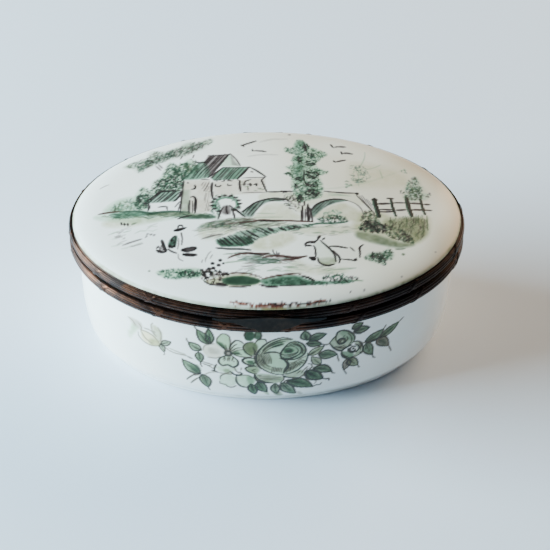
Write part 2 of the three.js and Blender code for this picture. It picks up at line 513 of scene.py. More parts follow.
def reedLift(theta):
    return reeds["bulge"] * numpy.abs(numpy.sin(reeds["count"] * (theta + math.pi / 2))) ** 0.75


def reedProfile(low, high):
    theta = numpy.linspace(-math.pi / 2, math.pi / 2, reeds["count"] * reeds["samples"] + 1)
    halfHeight = (high - low) / 2 - reeds["ease"]
    inset, height = mouldingPoint(theta, reedLift(theta), (low + high) / 2, halfHeight)
    return list(zip(inset.tolist(), height.tolist()))


def paintedLeftLight(points):
    # painted light: the mounts turn brown and coppery most at their left, toward the window light, and stay
    # dark at their right, turned from it
    return 0.08 + 0.92 * (1 - smoothstep(points[:, 0], -45, 45))


def makeMount(name, low, high, before, after, body, slotName, node):
    profile = [*before, *reedProfile(low, high), *after]
    piece, inset, around = turned(name, profile, reeds["steps"], True, 0.0, 60)
    points = getPoints(piece)
    middle = (low + high) / 2
    theta = numpy.arcsin(numpy.clip((points[:, 2] - middle) / ((high - low) / 2), -1, 1))
    crest = numpy.where(inset < reeds["back"] + 0.1, reedLift(theta) / reeds["bulge"], 0.2)
    # reed-crest wear, times painted light that is strongest at the mounts' left
    setNumbers(piece, "wearAndLight", crest * paintedLeftLight(points))
    return finishPiece(piece, rimPatina, body, slotName, node)


low, high = rimLow[2], rimHigh[2]
makeMount(
    "bowlMount",
    low,
    high,
    [(3.85, low + 0.7), (3.85, low), (1.5, low + 0.02)],
    [(1.5, high), (8.3, high), (8.3, high - 3.4), (7.6, high - 3.4), (7.6, high - 0.7), (1.9, high - 0.7),
        (1.9, low + 0.7)],
    "base",
    "bowl_mount",
    "base_mount",
)
low, high = lidLow[2], lidHigh[2]
makeMount(
    "lidMount",
    low,
    high - 0.4,
    [(4.6, low), (1.5, low)],
    [(1.5, high - 0.5), (1.7, high), (1.82, high - 0.1), (1.82, low + 0.8), (4.6, low + 0.8)],
    "lid",
    "lid_mount",
    "lid_mount",
)
print("mounts turned")

ties = {
    "count": 16,
    "reach": 3.3,
    "width": 1.5,
    "wrap": 100,  # degrees either way round the moulding
    "lift": 0.30,
    "crown": 0.06,
    "crossing": 0.05,
    "thickness": 0.14,
    "lipDrop": 0.4,
}


def ribbonTies(name, low, high, start, body, slotName, skip=()):
    angles, lengths = arcTable(0.5)
    spacing = (lengths[-1] - lengths[0]) / ties["count"]
    ribbons = []
    for number in range(ties["count"]):
        if number in skip:
            continue
        for way in (1, -1):
            bpy.ops.object.select_all(action="DESELECT")
            bpy.ops.mesh.primitive_grid_add(x_subdivisions=22, y_subdivisions=4, size=2)
            ribbon = bpy.context.object
            u, v, w = (getPoints(ribbon) * mm).T
            theta = numpy.radians(ties["wrap"]) * u
            centre = start + spacing * number
            halfWidth = 0.5 * ties["width"] * (1 - 0.25 * numpy.abs(u))
            along = centre + way * ties["reach"] * u + halfWidth * v
            tuck = numpy.clip((1 - numpy.abs(u)) * 4, 0, 1)
            lift = ties["lift"] * tuck + ties["crown"] * (1 - v * v)
            lift = lift + (ties["crossing"] if way > 0 else 0.0)
            inset, height = mouldingPoint(theta, lift, (low + high) / 2, (high - low) / 2 - reeds["ease"])
            along = (along - lengths[0]) % (lengths[-1] - lengths[0]) + lengths[0]
            around = numpy.interp(along, lengths, angles)
            setPoints(ribbon, ovalPoint(inset, around, height))
            # ribbon-edge wear, times painted light that is strongest at the mounts' left
            setNumbers(ribbon, "wearAndLight", (0.9 + 0.5 * numpy.abs(v)) * paintedLeftLight(getPoints(ribbon)))
            thicken = ribbon.modifiers.new("thickness", "SOLIDIFY")
            thicken.thickness = ties["thickness"] * mm
            thicken.offset = -1 if way > 0 else 1
            bpy.ops.object.modifier_apply(modifier="thickness")
            ribbons.append(ribbon)
    bpy.ops.object.select_all(action="DESELECT")
    for ribbon in ribbons:
        ribbon.select_set(True)
    bpy.context.view_layer.objects.active = ribbons[0]
    bpy.ops.object.join()
    piece = ribbons[0]
    piece.name = name
    closeUp(piece, 50)
    return finishPiece(piece, rimPatina, body, slotName)


ribbonTies("bowlMountTies", rimLow[2], rimHigh[2], -17.0, "base", "bowl_mount")
ribbonTies("lidMountTies", lidLow[2], lidHigh[2] - ties["lipDrop"], -20.4, "lid", "lid_mount", skip=(0,))
print("ribbon ties wrapped")


# thumbpiece: a cupid's bow of thin sheet
thumb = {
    "halfWidth": 21.5,
    "wing": 0.5,
    "shield": 2.3,
    "tip": 1.3,
    "top": 1.1,
    "crest": 1.9,
    "endRise": 0.3,
    "flare": 0.8,
    "gap": 0.32,
    "swell": 0.11,
    "thickness": 0.8,
    "bevel": 0.16,
}


def thumbDrop(x):
    away = numpy.abs(x)
    wing = thumb["wing"] * (1 - smoothstep(away, thumb["halfWidth"] - 4, thumb["halfWidth"]))
    shield = thumb["shield"] * (1 - smoothstep(away, 6, 14))
    return wing + shield + thumb["tip"] * (1 - smoothstep(away, 3, 6.2))


bpy.ops.object.select_all(action="DESELECT")
bpy.ops.mesh.primitive_grid_add(x_subdivisions=96, y_subdivisions=14, size=2)
thumbPiece = bpy.context.object
thumbPiece.name = "thumbPiece"
u, v, w = (getPoints(thumbPiece) * mm).T
x = u * (thumb["halfWidth"] - 0.1)
down = (1 - v) / 2
taper = 1 - smoothstep(numpy.abs(x), 0, thumb["halfWidth"])
top = lidLow[2] + thumb["top"] + thumb["crest"] * taper
bottom = lidLow[2] + thumb["endRise"] - thumbDrop(x)
height = top + (bottom - top) * down
lean = thumb["flare"] * thumbDrop(x) / thumbDrop(0.0) * down**2
swell = thumb["swell"] * numpy.sin(math.pi * down) * taper
outset = thumb["gap"] + lean + 0.1 + thumb["thickness"] * 0.72 + swell
y = -(oval["halfWidth"] + outset) * numpy.sqrt(1 - (x / (oval["halfLength"] + outset)) ** 2)
setPoints(thumbPiece, numpy.stack([x, y, height], -1))
setNumbers(thumbPiece, "wearAndLight", 0.15 + 0.6 * smoothstep(numpy.abs(down - 0.5), 0.38, 0.5))
thicken = thumbPiece.modifiers.new("thickness", "SOLIDIFY")
thicken.thickness = thumb["thickness"] * 0.8 * mm
thicken.offset = -1
bpy.ops.object.modifier_apply(modifier="thickness")
soften = thumbPiece.modifiers.new("soften", "BEVEL")
soften.width = thumb["bevel"] * mm
soften.segments = 3
soften.limit_method = "ANGLE"
soften.angle_limit = math.radians(50)
bpy.ops.object.modifier_apply(modifier="soften")
closeUp(thumbPiece, 50)
finishPiece(thumbPiece, darkPatina, "lid", "thumb_metal", "thumbpiece")


# collar that the lid closes over
inner, outer = oval["halfLength"] - bezelHigh[0] + 1.0, oval["halfLength"] - bezelHigh[0]
low, high = bezelLow[2], bezelHigh[2]
bezelPiece, inset, around = turned(
    "bezelCollar",
    [(outer, low), (outer, high - 0.5), (outer + 0.15, high - 0.15), (outer + 0.4, high), (inner, high),
        (inner, low)],
    256,
)
setNumbers(bezelPiece, "wearAndLight", smoothstep(getPoints(bezelPiece)[:, 2], high - 0.6, high) * 0.8 + 0.2)
finishPiece(bezelPiece, hingePatina, "base", "bezel", "base_bezel")
print("thumbpiece and collar made")


# painting: transparent colour laid on the points of the dense glazed surfaces
class Canvas:
    # places are flat positions in mm, and cells of them are kept for quick finding
    def __init__(self, places, grain, seed):
        self.cell = 2.0
        self.low = places.min(0) - 1
        self.columns = int((places[:, 0].max() - self.low[0]) / self.cell) + 2
        key = self.cellOf(places)
        self.order = numpy.argsort(key, kind="stable")
        self.places = places[self.order]
        self.rows = int((places[:, 1].max() - self.low[1]) / self.cell) + 2
        self.starts = numpy.searchsorted(key[self.order], numpy.arange(self.columns * self.rows + 1))
        self.tint = numpy.ones((len(places), 3))
        self.laid = numpy.zeros(len(places))
        self.grain = grain
        self.random = numpy.random.default_rng(seed)
        self.clouds = self.random.random((64, 64))

    def cellOf(self, places):
        column = ((places[:, 0] - self.low[0]) / self.cell).astype(int)
        row = ((places[:, 1] - self.low[1]) / self.cell).astype(int)
        return row * self.columns + column

    def near(self, low, high):
        first = numpy.clip(((numpy.array(low) - self.low) / self.cell).astype(int), 0, None)
        last = ((numpy.array(high) - self.low) / self.cell).astype(int)
        last = numpy.clip(last, -1, (self.columns - 1, self.rows - 1))
        runs = []
        for row in range(first[1], last[1] + 1):
            start = row * self.columns
            runs.append(numpy.arange(self.starts[start + first[0]], self.starts[start + last[0] + 1]))
        return numpy.concatenate(runs) if runs else numpy.zeros(0, int)

    def mottle(self, places, size):
        # soft noise from 0 to 1, with patches of about the given size
        spot = places / size + 200
        corner = numpy.floor(spot).astype(int)
        share = spot - corner
        share = share * share * (3 - 2 * share)
        value = 0
        for dx in (0, 1):
            for dy in (0, 1):
                across = share[:, 0] if dx else 1 - share[:, 0]
                up = share[:, 1] if dy else 1 - share[:, 1]
                cloud = self.clouds[(corner[:, 0] + dx) % 64, (corner[:, 1] + dy) % 64]
                value = value + across * up * cloud
        return value

    def lay(self, index, cover, colour):
        cover = numpy.clip(cover, 0, 1)
        under = self.tint[index]
        over = numpy.minimum(under, colour) * (0.8 + 0.2 * under)
        self.tint[index] = under + cover[:, None] * (over - under)
        self.laid[index] = numpy.maximum(self.laid[index], cover * (1 - min(colour)))

    def curve(self, points, step=0.5, closed=False):
        # a smooth line through the points
        points = numpy.array(points, float)
        if len(points) < 3 and not closed:
            return points[0] + numpy.linspace(0, 1, 5)[:, None] * (points[-1] - points[0])
        ends = (points[-1], points[0], points[1]) if closed else (points[0], points[-1], points[-1])
        line = numpy.vstack([ends[0][None], points, ends[1][None], ends[2][None]])
        count = len(points) if closed else len(points) - 1
        out = []
        for i in range(1, count + 1):
            a, b, c, d = line[i - 1 : i + 3]
            pieces = max(2, int(numpy.hypot(*(c - b)) / step))
            t = numpy.linspace(0, 1, pieces, endpoint=False)[:, None]
            square = (2 * a - 5 * b + 4 * c - d) * t**2
            cube = (3 * b - a - 3 * c + d) * t**3
            out.append(0.5 * (2 * b + (c - a) * t + square + cube))
        if not closed:
            out.append(points[-1][None])
        return numpy.concatenate(out)

    def distance(self, places, line):
        start, way = line[:-1], numpy.diff(line, axis=0)
        size = numpy.maximum((way**2).sum(1), 1e-9)
        away = places[:, None] - start
        share = numpy.clip((away * way).sum(2) / size, 0, 1)
        gap = numpy.linalg.norm(away - share[:, :, None] * way, axis=2)
        best = gap.argmin(1)
        rows = numpy.arange(len(places))
        return gap[rows, best], (best + share[rows, best]) / len(way)

    def stroke(self, points, width=0.5, colour="ink", strength=0.9, taper=0.55, raw=False):
        line = numpy.array(points, float) if raw else self.curve(points)
        reach = width / 2 + self.grain
        index = self.near(line.min(0) - reach, line.max(0) + reach)
        if not len(index):
            return
        gap, along = self.distance(self.places[index], line)
        body = 1 - taper * numpy.abs(2 * along - 1) ** 2.5
        broken = 0.72 + 0.56 * self.mottle(self.places[index], 1.1)
        cover = numpy.clip((width / 2 * body - gap) / self.grain + 0.5, 0, 1)
        self.lay(index, cover * strength * broken, inks[colour])

    def inside(self, places, outline):
        x, y = places[:, 0, None], places[:, 1, None]
        ax, ay = outline.T
        bx, by = numpy.roll(outline, -1, 0).T
        crosses = (ay > y) != (by > y)
        height = numpy.where(by == ay, 1e-9, by - ay)
        return (crosses & (x < (bx - ax) * (y - ay) / height + ax)).sum(1) % 2 == 1

    def wash(self, points, colour, strength=0.5, soft=0.8, patchy=0.5, size=2.5, sharp=False):
        outline = numpy.array(points, float) if sharp else self.curve(points, 1.0, True)
        index = self.near(outline.min(0) - soft, outline.max(0) + soft)
        if not len(index):
            return
        places = self.places[index]
        gap, along = self.distance(places, numpy.vstack([outline, outline[:1]]))
        depth = numpy.where(self.inside(places, outline), gap, -gap)
        cover = numpy.clip(depth / soft + 0.5, 0, 1)
        cloud = 0.6 * self.mottle(places, size) + 0.4 * self.mottle(places, size * 0.37)
        self.lay(index, cover * strength * (1 - patchy + 2 * patchy * cloud), inks[colour])

    def hatch(self, points, slant, gap, width, colour, strength=0.85, wobble=0.25):
        # slanting strokes that fill an outline
        outline = numpy.array(points, float)
        way = numpy.array([math.cos(math.radians(slant)), math.sin(math.radians(slant))])
        side = numpy.array([-way[1], way[0]])
        reach = outline @ side
        for offset in numpy.arange(reach.min() + gap / 2, reach.max(), gap):
            offset = offset + self.random.normal(0, wobble * gap)
            along = numpy.arange((outline @ way).min(), (outline @ way).max(), 0.4)
            spots = offset * side + along[:, None] * way
            held = self.inside(spots, outline)
            if held.sum() < 3:
                continue
            first, last = along[held].min(), along[held].max()
            first += self.random.uniform(-0.3, 0.5)
            last += self.random.uniform(-0.5, 0.3)
            bow = self.random.normal(0, 0.15)
            middle = (first + last) / 2 * way + (offset + bow) * side
            line = [first * way + offset * side, middle, last * way + offset * side]
            self.stroke(line, width * self.random.uniform(0.7, 1.25),
                colour, strength * self.random.uniform(0.6, 1))

    def dabs(self, points, count, size, colours, slant=90, spread=40, strength=0.8, width=0.6, bend=0.2):
        # short touches of the brush scattered over an outline
        outline = self.curve(points, 1.5, True)
        low, high = outline.min(0), outline.max(0)
        spots = low + self.random.random((count * 4, 2)) * (high - low)
        spots = spots[self.inside(spots, outline)][:count]
        for spot in spots:
            angle = math.radians(slant + self.random.normal(0, spread))
            way = numpy.array([math.cos(angle), math.sin(angle)])
            half = size * self.random.uniform(0.5, 1.3) / 2
            side = numpy.array([-way[1], way[0]]) * self.random.normal(0, bend) * size
            colour = colours[self.random.integers(len(colours))]
            touch = strength * self.random.uniform(0.45, 1.0)
            line = [spot - way * half, spot + side, spot + way * half]
            self.stroke(line, width * self.random.uniform(0.6, 1.1), colour, touch, 0.7, raw=True)

    def leaf(self, root, tip, breadth, fill, strength=0.8, tail=None, line=0.5, lines=3, bend=0.0):
        # an outlined leaf with a vein, shading at its root, and sometimes a curling tail
        root, tip = numpy.array(root, float), numpy.array(tip, float)
        way = tip - root
        size = numpy.hypot(*way)
        side = numpy.array([-way[1], way[0]]) / size
        bow = side * bend * size
        share = numpy.array([0, 0.18, 0.42, 0.7, 0.9, 1.0])
        wide = numpy.array([0.05, 0.72, 1.0, 0.72, 0.3, 0.0]) * breadth / 2
        middle = root + share[:, None] * way + (4 * share * (1 - share))[:, None] * bow
        left, right = middle + wide[:, None] * side, middle - wide[:, None] * side
        outline = numpy.vstack([left, right[::-1][1:-1]])
        self.wash(outline, fill, strength * 0.55, 0.5, 0.3, 1.4)
        core = middle + 0.5 * (outline[: len(middle)] - middle)
        self.wash(numpy.vstack([core, (2 * middle - core)[::-1][1:-1]]), deeper.get(fill, fill),
            strength * 0.34, 0.8, 0.7, 1.1)
        self.stroke(left, line * 0.9, "ink", 0.95, 0.4)
        self.stroke(right, line * 0.9, "ink", 1.0, 0.4)
        self.stroke(middle[:4], line * 0.6, "ink", 0.6, 0.8)
        for number in range(lines):
            offset = (number - (lines - 1) / 2) * breadth * 0.24
            self.stroke([root + side * offset * 0.5, middle[2] + side * offset], line * 0.5, "ink", 0.5, 0.8)
        if tail:
            self.stroke([tip, *tail], line * 0.9, "ink", 0.6, 0.5)

    def ring(self, centre, radiusX, radiusY, width, colour, strength=0.8, start=0, end=360):
        angle = numpy.radians(numpy.linspace(start, end, 14))
        points = numpy.array(centre) + numpy.stack([radiusX * numpy.cos(angle), radiusY * numpy.sin(angle)],
            1)
        self.stroke(points, width, colour, strength, 0.3)

    def blob(self, centre, radius, colour="ink", strength=0.9):
        self.stroke([centre, (centre[0] + 0.1, centre[1])], radius * 2, colour, strength, 0, raw=True)

    def keepOn(self, piece, picked, lean=(1.0, 1.0, 1.0)):
        # Tints say how the paint should look. What is kept is the share of light that it lets through,
        # along a given curve, and lean tilts the hue to suit the light on that side.
        tint = numpy.ones((len(piece.data.vertices), 4))
        laid = numpy.zeros(len(piece.data.vertices))
        rows = numpy.nonzero(picked)[0][self.order]
        depth = (1 - numpy.clip(self.tint, 1e-3, 1) ** numpy.array(lean)) ** 0.82
        tint[rows, :3] = numpy.exp(-4.9 * depth)
        laid[rows] = self.laid
        colours = piece.data.color_attributes.new(name="paint", type="FLOAT_COLOR", domain="POINT")
        colours.data.foreach_set("color", tint.astype(numpy.float32).ravel())
        setNumbers(piece, "laid", laid)


def seen(*colour):
    # a colour as it looks on the white glaze, as shares of that white
    return tuple(value / 236 for value in colour)


deeper = {"pine": "pine", "fir": "pine", "leaf": "fir", "moss": "fir", "sage": "moss", "soot": "soot"}
inks = {
    "ink": seen(54, 46, 46),
    "soot": seen(100, 94, 92),
    "smoke": seen(165, 163, 160),
    "umber": seen(112, 86, 80),
    "pine": seen(52, 104, 78),
    "fir": seen(90, 126, 108),
    "leaf": seen(128, 168, 148),
    "moss": seen(122, 142, 114),
    "olive": seen(156, 164, 130),
    "sage": seen(172, 190, 172),
    "mint": seen(200, 218, 204),
    "hay": seen(208, 208, 186),
    "stone": seen(216, 210, 200),
    "rust": seen(160, 98, 78),
    "cream": seen(228, 216, 178),
}

# lid: positions in mm from its middle, x to the right and y to the hinge
lidPoints = getPoints(lidPiece)
radius = numpy.full(len(lidPoints), 60.0)
for step in range(30):
    radius = numpy.hypot(lidPoints[:, 0], lidPoints[:, 1] / narrowing(radius))
lidInset = oval["halfLength"] - radius
topSide = lidPoints[:, 2] > numpy.maximum(domeHeight(lidInset) - 1.0, panelRim + 0.5)
lid = Canvas(lidPoints[topSide, :2], 0.40, 7)

# sky
for bird in (
    [[(-9.8, 40.7), (-9, 39.9), (-8.4, 39.5)], [(-9.3, 40.3), (-7.4, 41.3), (-5.6, 42.3), (-3.7, 43.4)]],
    [[(-5.2, 37.3), (-5.1, 36.7), (-5, 36)], [(-4.3, 36.3), (-2.2, 36.1), (0.2, 35.5)]],
    [[(26.4, 41.2), (26.9, 39.7), (27.6, 38.6)], [(28.2, 39.2), (30, 39.5), (32.2, 39.4)]],
    [[(30.4, 35.9), (30.5, 35), (30.7, 34)], [(31.2, 34.8), (32.6, 34.9), (34.8, 34.4)]],
    [[(27.1, 29.3), (27.3, 28.6), (27.7, 28)], [(28, 28.2), (29.6, 29), (31.7, 29.8)]],
):
    lid.stroke(bird[0], 0.75, "ink", 0.75)
    lid.stroke(bird[1], 1.05, "soot", 0.8, 0.35)
lid.blob((10, 48.6), 0.55, "soot", 0.8)
lid.stroke([(-7, 32), (-1, 33.2), (5, 33)], 1.2, "smoke", 0.16)
lid.stroke([(-2, 42.6), (3, 44.6), (9, 44.9)], 1.2, "smoke", 0.2)

# drifting spray of foliage, upper left
spray = [
    (-56, 28), (-52, 31), (-47, 33.5), (-45.5, 38), (-40, 37.5), (-35, 40), (-31, 43.5), (-27, 43.5),
    (-22, 46),
]
spray += [
    (-21.5, 43.5), (-24, 39.5), (-28, 36.8), (-32, 34), (-37, 32), (-41, 30), (-46, 27), (-50, 23.5),
    (-52, 26),
]
lid.wash(spray, "sage", 0.35, 2.5, 0.6, 4)
lid.dabs(spray, 300, 1.6, ["fir", "moss", "soot"], 75, 45, 0.6, 0.42)
lid.dabs([(-51, 30), (-44, 33), (-38, 36.5), (-38, 32), (-44, 29), (-50, 25)],
    140, 1.4, ["fir", "soot", "pine"], 70, 45, 0.65, 0.42)
lid.dabs([(-39, 37), (-31, 40), (-25, 43), (-24, 41), (-31, 35), (-38, 33)],
    140, 1.8, ["soot", "smoke", "fir"], 78, 25, 0.65, 0.45)
for twig in (
    [(-42.6, 28.2), (-41, 25.4)],
    [(-43.6, 27.2), (-41.6, 24)],
    [(-33, 34), (-34, 31.4)],
    [(-29, 32), (-28.6, 34)],
):
    lid.stroke(twig, 0.6, "soot", 0.65)

# bush behind the house
bush = [
    (-50.5, 0), (-51.5, 6), (-50, 11), (-48.3, 13.4), (-45.5, 11), (-44.5, 16), (-41.5, 19), (-40, 24),
    (-38, 29),
]
bush += [
    (-35.5, 27), (-33, 28), (-30, 31), (-28, 28), (-27, 22), (-32, 17), (-33, 10), (-41, 9), (-46, 4),
    (-47, 0),
]
lid.wash(bush, "mint", 0.6, 2.0, 0.4, 4)
lid.wash([(-63, 0), (-60, 4.5), (-56, 6.5), (-51, 7), (-47, 3), (-48, -1.5), (-56, -1.5)],
    "mint", 0.7, 2.5, 0.5, 3)
lid.dabs(bush, 520, 1.2, ["fir", "soot", "moss", "pine"], 80, 55, 0.75, 0.42)
lid.dabs([(-42, 10), (-43, 15), (-38, 20), (-33, 20), (-33, 11)], 240, 1.1, ["ink", "soot", "pine", "pine"],
    75, 60, 0.85, 0.45)
lid.dabs([(-50.5, 0), (-50.5, 8), (-46, 9), (-44.5, 5), (-47.5, 0)], 130, 1.4, ["fir", "ink", "pine"],
    100, 45, 0.75, 0.45)
lid.dabs([(-62, 0), (-59, 3.5), (-53, 5.5), (-50, 2), (-52, -0.5)], 60, 2.2, ["moss", "leaf", "fir"],
    80, 35, 0.5, 0.7)
lid.dabs([(-36, 20), (-37, 28), (-32, 28), (-28, 30), (-27, 22)], 70, 2.6, ["fir", "moss", "pine"],
    85, 25, 0.6, 0.7)

# mill: roofs, walls, tower and lean-to
lid.wash([(-24.5, 28.5), (-22.6, 33.6), (-14.4, 34), (-18.5, 26), (-22.5, 18.5), (-24.5, 21)],
    "soot", 0.45, 0.8, 0.3, sharp=True)
lid.wash([(-27, 27.5), (-24, 28.5), (-22.5, 18), (-33, 16.8), (-31, 21)], "leaf", 0.6, 1.0, 0.4)
lid.wash([(-22, 17.2), (-16.6, 24.4), (-7, 24.2), (-11.4, 15.9), (-20.5, 15.4)],
    "leaf", 0.7, 0.6, 0.3, sharp=True)
lid.hatch([(-25, 28), (-23, 33.8), (-14.4, 34), (-22.5, 18.2)], 62, 1.05, 0.55, "ink", 0.8)
lid.hatch([(-28.5, 27), (-24, 29), (-22.8, 17.6), (-33, 16.6), (-31.5, 20)], 62, 1.1, 0.5, "fir", 0.8)
lid.hatch([(-26, 26), (-23, 27), (-22.6, 18), (-30, 17)], 62, 2.2, 0.5, "ink", 0.55)
lid.hatch([(-22.4, 17.1), (-16.8, 24.5), (-7, 24.2), (-11.4, 15.8), (-20.5, 15.2)],
    61, 1.05, 0.5, "soot", 0.7)
lid.hatch([(-21.5, 17.1), (-16.8, 24.5), (-10, 24.2), (-14, 15.8)], 61, 2.1, 0.45, "ink", 0.6)
lid.wash([(-14.2, 33.5), (-10.4, 25), (-18.6, 25), (-16.5, 29)], "mint", 0.5, 0.7, 0.5, sharp=True)
lid.wash([(-13.9, 33.5), (-12, 28), (-10.3, 24.6), (-13.5, 26)], "smoke", 0.5, 0.8, 0.4, sharp=True)
lid.wash([(-33, 16), (-22, 16), (-21.5, -4), (-33.4, -5)], "stone", 0.5, 1.0, 0.4, sharp=True)
lid.wash([(-21, 14.6), (-0.6, 16.4), (-0.4, 7), (-21, 5)], "stone", 0.4, 1.2, 0.4, sharp=True)
lid.wash([(-33, 10), (-30, 10), (-30, -4), (-33.4, -5)], "sage", 0.4, 1.2, 0.4, sharp=True)
lid.hatch([(-26, 15), (-22.4, 15), (-22.4, 8), (-25, 8)], 70, 0.8, 0.35, "soot", 0.45)
lid.hatch([(-24.6, 8), (-22.4, 8), (-22.4, -4), (-24, -4)], 82, 0.7, 0.3, "soot", 0.35)
for line, width, strength in (
    ([(-14.2, 34.4), (-17.5, 27.6), (-20.8, 21), (-22.9, 17.4)], 0.75, 0.95),
    ([(-14.1, 34.4), (-11.8, 30), (-10.1, 25.2)], 0.6, 0.75),
    ([(-23, 33.4), (-19, 33), (-14.4, 34)], 0.5, 0.6),
    ([(-28.6, 29.2), (-26, 28.2), (-23.2, 28.5)], 0.9, 0.8),
    ([(-16.8, 24.4), (-19.6, 21), (-22.9, 17.5)], 0.7, 0.9),
    ([(-17, 24.3), (-12, 23.8), (-7, 24.2)], 0.5, 0.7),
    ([(-6.6, 24.3), (-8.8, 20.2), (-11.4, 16)], 0.95, 0.95),
    ([(-6.4, 24.1), (-3.2, 20.9), (-0.3, 17.4)], 0.85, 0.95),
    ([(-0.2, 17.3), (-1.4, 15.8), (-1.8, 14.7), (-0.9, 11), (0, 7.3)], 0.75, 0.9),
    ([(-10.5, 15), (-10.5, 11.5), (-10.2, 8)], 0.95, 0.9),
    ([(-21.3, 14.2), (-21.5, 9), (-21.2, 4)], 0.95, 0.9),
    ([(-32.4, 16.2), (-32.8, 10), (-33.3, 3), (-33.7, -4.2)], 0.65, 0.85),
    ([(-25.6, 16.4), (-22.5, 16.2)], 0.6, 0.5),
    ([(-30.2, -4.3), (-30.3, -0.5), (-30.1, 3.4)], 0.7, 0.85),
    ([(-29.6, 5.2), (-28.7, 5.6), (-27.9, 4.6), (-27.8, 0), (-28, -4.3)], 1.1, 0.95),
    ([(-29, 3), (-28.9, -0.5), (-28.9, -4)], 0.5, 0.7),
    ([(-28.1, 12.9), (-27.9, 11.5), (-28.3, 10.4), (-29.4, 10.3)], 0.85, 0.95),
    ([(-31, 14.8), (-30.6, 14.2)], 0.9, 0.6),
    ([(-20, 13), (-19.9, 11.7), (-18.4, 11.4), (-18, 12.2)], 0.75, 0.9),
    ([(-15.2, 13), (-15.1, 11.9), (-13.6, 12)], 0.65, 0.8),
    ([(-6.3, 13), (-6.2, 11.2)], 1.0, 0.95),
    ([(-5, 12), (-3.9, 12.6), (-4, 11.2)], 0.9, 0.9),
    ([(-9, 12), (-8.2, 14.4), (-6, 15.6)], 0.7, 0.6),
    ([(-9.6, 16.6), (-5, 16.8), (-0.6, 16.9)], 0.5, 0.5),
    ([(-5.9, 21), (-5.2, 20.4)], 0.7, 0.7),
    ([(-46.6, 4.4), (-44, 7), (-41.6, 9.4), (-38, 9.8), (-33.7, 9.6)], 0.95, 0.95),
    ([(-33.3, 9.2), (-34, 6.5), (-35.8, 3.4)], 0.95, 0.9),
    ([(-46, 2.4), (-45.8, 0.4), (-46.3, -1.6)], 0.85, 0.85),
    ([(-42.2, 0.2), (-40.4, 0.4), (-39, 0.1), (-38.7, -1.8)], 0.7, 0.65),
    ([(-33.9, 3), (-35.8, -0.4)], 0.5, 0.6),
    ([(-33.4, 3), (-34.6, -3)], 0.5, 0.6),
):
    lid.stroke(line, width, "ink", strength)
lid.dabs([(-21.5, 15.8), (-12, 15.8), (-12, 14.8), (-21.5, 14.6)], 16, 0.9, ["ink", "soot"], 90, 30, 0.7, 0.7)
lid.dabs([(-9.8, 14), (-7, 15), (-6.5, 9), (-9.5, 8.5)], 16, 1.2, ["moss", "soot"], 80, 40, 0.5, 0.7)
lid.dabs([(-4.5, 10), (-1.5, 9.5), (-2, 8.2), (-4.5, 8.2)], 6, 1.0, ["moss", "soot"], 0, 40, 0.5, 0.7)
lid.wash([(-47.5, 2.8), (-41.4, 9.6), (-33.8, 9.8), (-35.8, 3.2)], "leaf", 0.55, 0.7, 0.35, sharp=True)
lid.hatch([(-47.5, 2.6), (-41.4, 9.8), (-33.6, 9.8), (-35.8, 3)], 52, 1.25, 0.7, "ink", 0.8)

# ground before the mill
lid.wash([(-67, -3), (-60, -1), (-50, -1.5), (-38, -3.2), (-20, -6), (-20, -8), (-34, -7), (-50, -8.5),
    (-62, -6)], "mint", 0.5, 2, 0.5)
lid.wash([(-60, -1.4), (-50, -1.8), (-44, -3.6), (-50, -4.6), (-59, -4.6)], "leaf", 0.65, 1.4, 0.7)
lid.wash([(-46, -2.8), (-36, -3), (-22, -6), (-24, -7.6), (-36, -5.6), (-46, -4.6)], "moss", 0.7, 1.2, 0.6)
lid.stroke([(-65.5, -1.5), (-62, -1.0), (-57.4, -0.8)], 1.0, "umber", 0.8)
lid.stroke([(-57, -1.1), (-50, -1.5), (-45, -3), (-38, -2.7), (-30, -3.7)], 1.2, "fir", 0.8)
lid.stroke([(-34.6, -7.3), (-32, -6.2), (-29.4, -5.6)], 0.85, "ink", 0.85)
lid.wash([(-33, -7), (-29, -5.4), (-22, -5.6), (-20, -7.4), (-27, -7.8)], "fir", 0.6, 0.9, 0.5)
lid.wash([(-62, -6), (-48, -5.4), (-40, -6.6), (-52, -9.6), (-62, -9)], "hay", 0.4, 2.5, 0.5)
lid.dabs([(-63, -2), (-50, -2), (-38, -3.4), (-22, -6), (-22, -7.6), (-40, -6), (-60, -5.4)],
    90, 3.4, ["fir", "moss", "pine"], -6, 14, 0.6, 0.4)
lid.dabs([(-60, -10), (-44, -8), (-46, -20), (-58, -20)], 14, 4.0, ["smoke", "sage"], 18, 8, 0.45, 0.5)
for x, y in ((-56.4, -8), (-55.2, -8.5), (-53.9, -8.7)):
    lid.stroke([(x - 0.1, y + 0.7), (x + 0.1, y - 0.7)], 0.8, "ink", 0.85)
lid.stroke([(-52.4, -8.9), (-50.6, -8.1)], 1.0, "moss", 0.5)
lid.stroke([(-55.6, -19.9), (-52, -18.4), (-48.4, -17.2)], 0.8, "soot", 0.5)
lid.stroke([(-52.6, -21), (-50, -20.2), (-48, -19.6)], 0.7, "smoke", 0.5)
lid.dabs([(-59, -12), (-56, -11), (-55, -16), (-58, -17)], 9, 2.2, ["smoke"], 20, 15, 0.5, 0.7)
lid.dabs([(-49.5, -15), (-44, -14.8), (-44, -16.4), (-49.5, -16.2)], 8, 1.0, ["soot"], 75, 30, 0.6, 0.5)

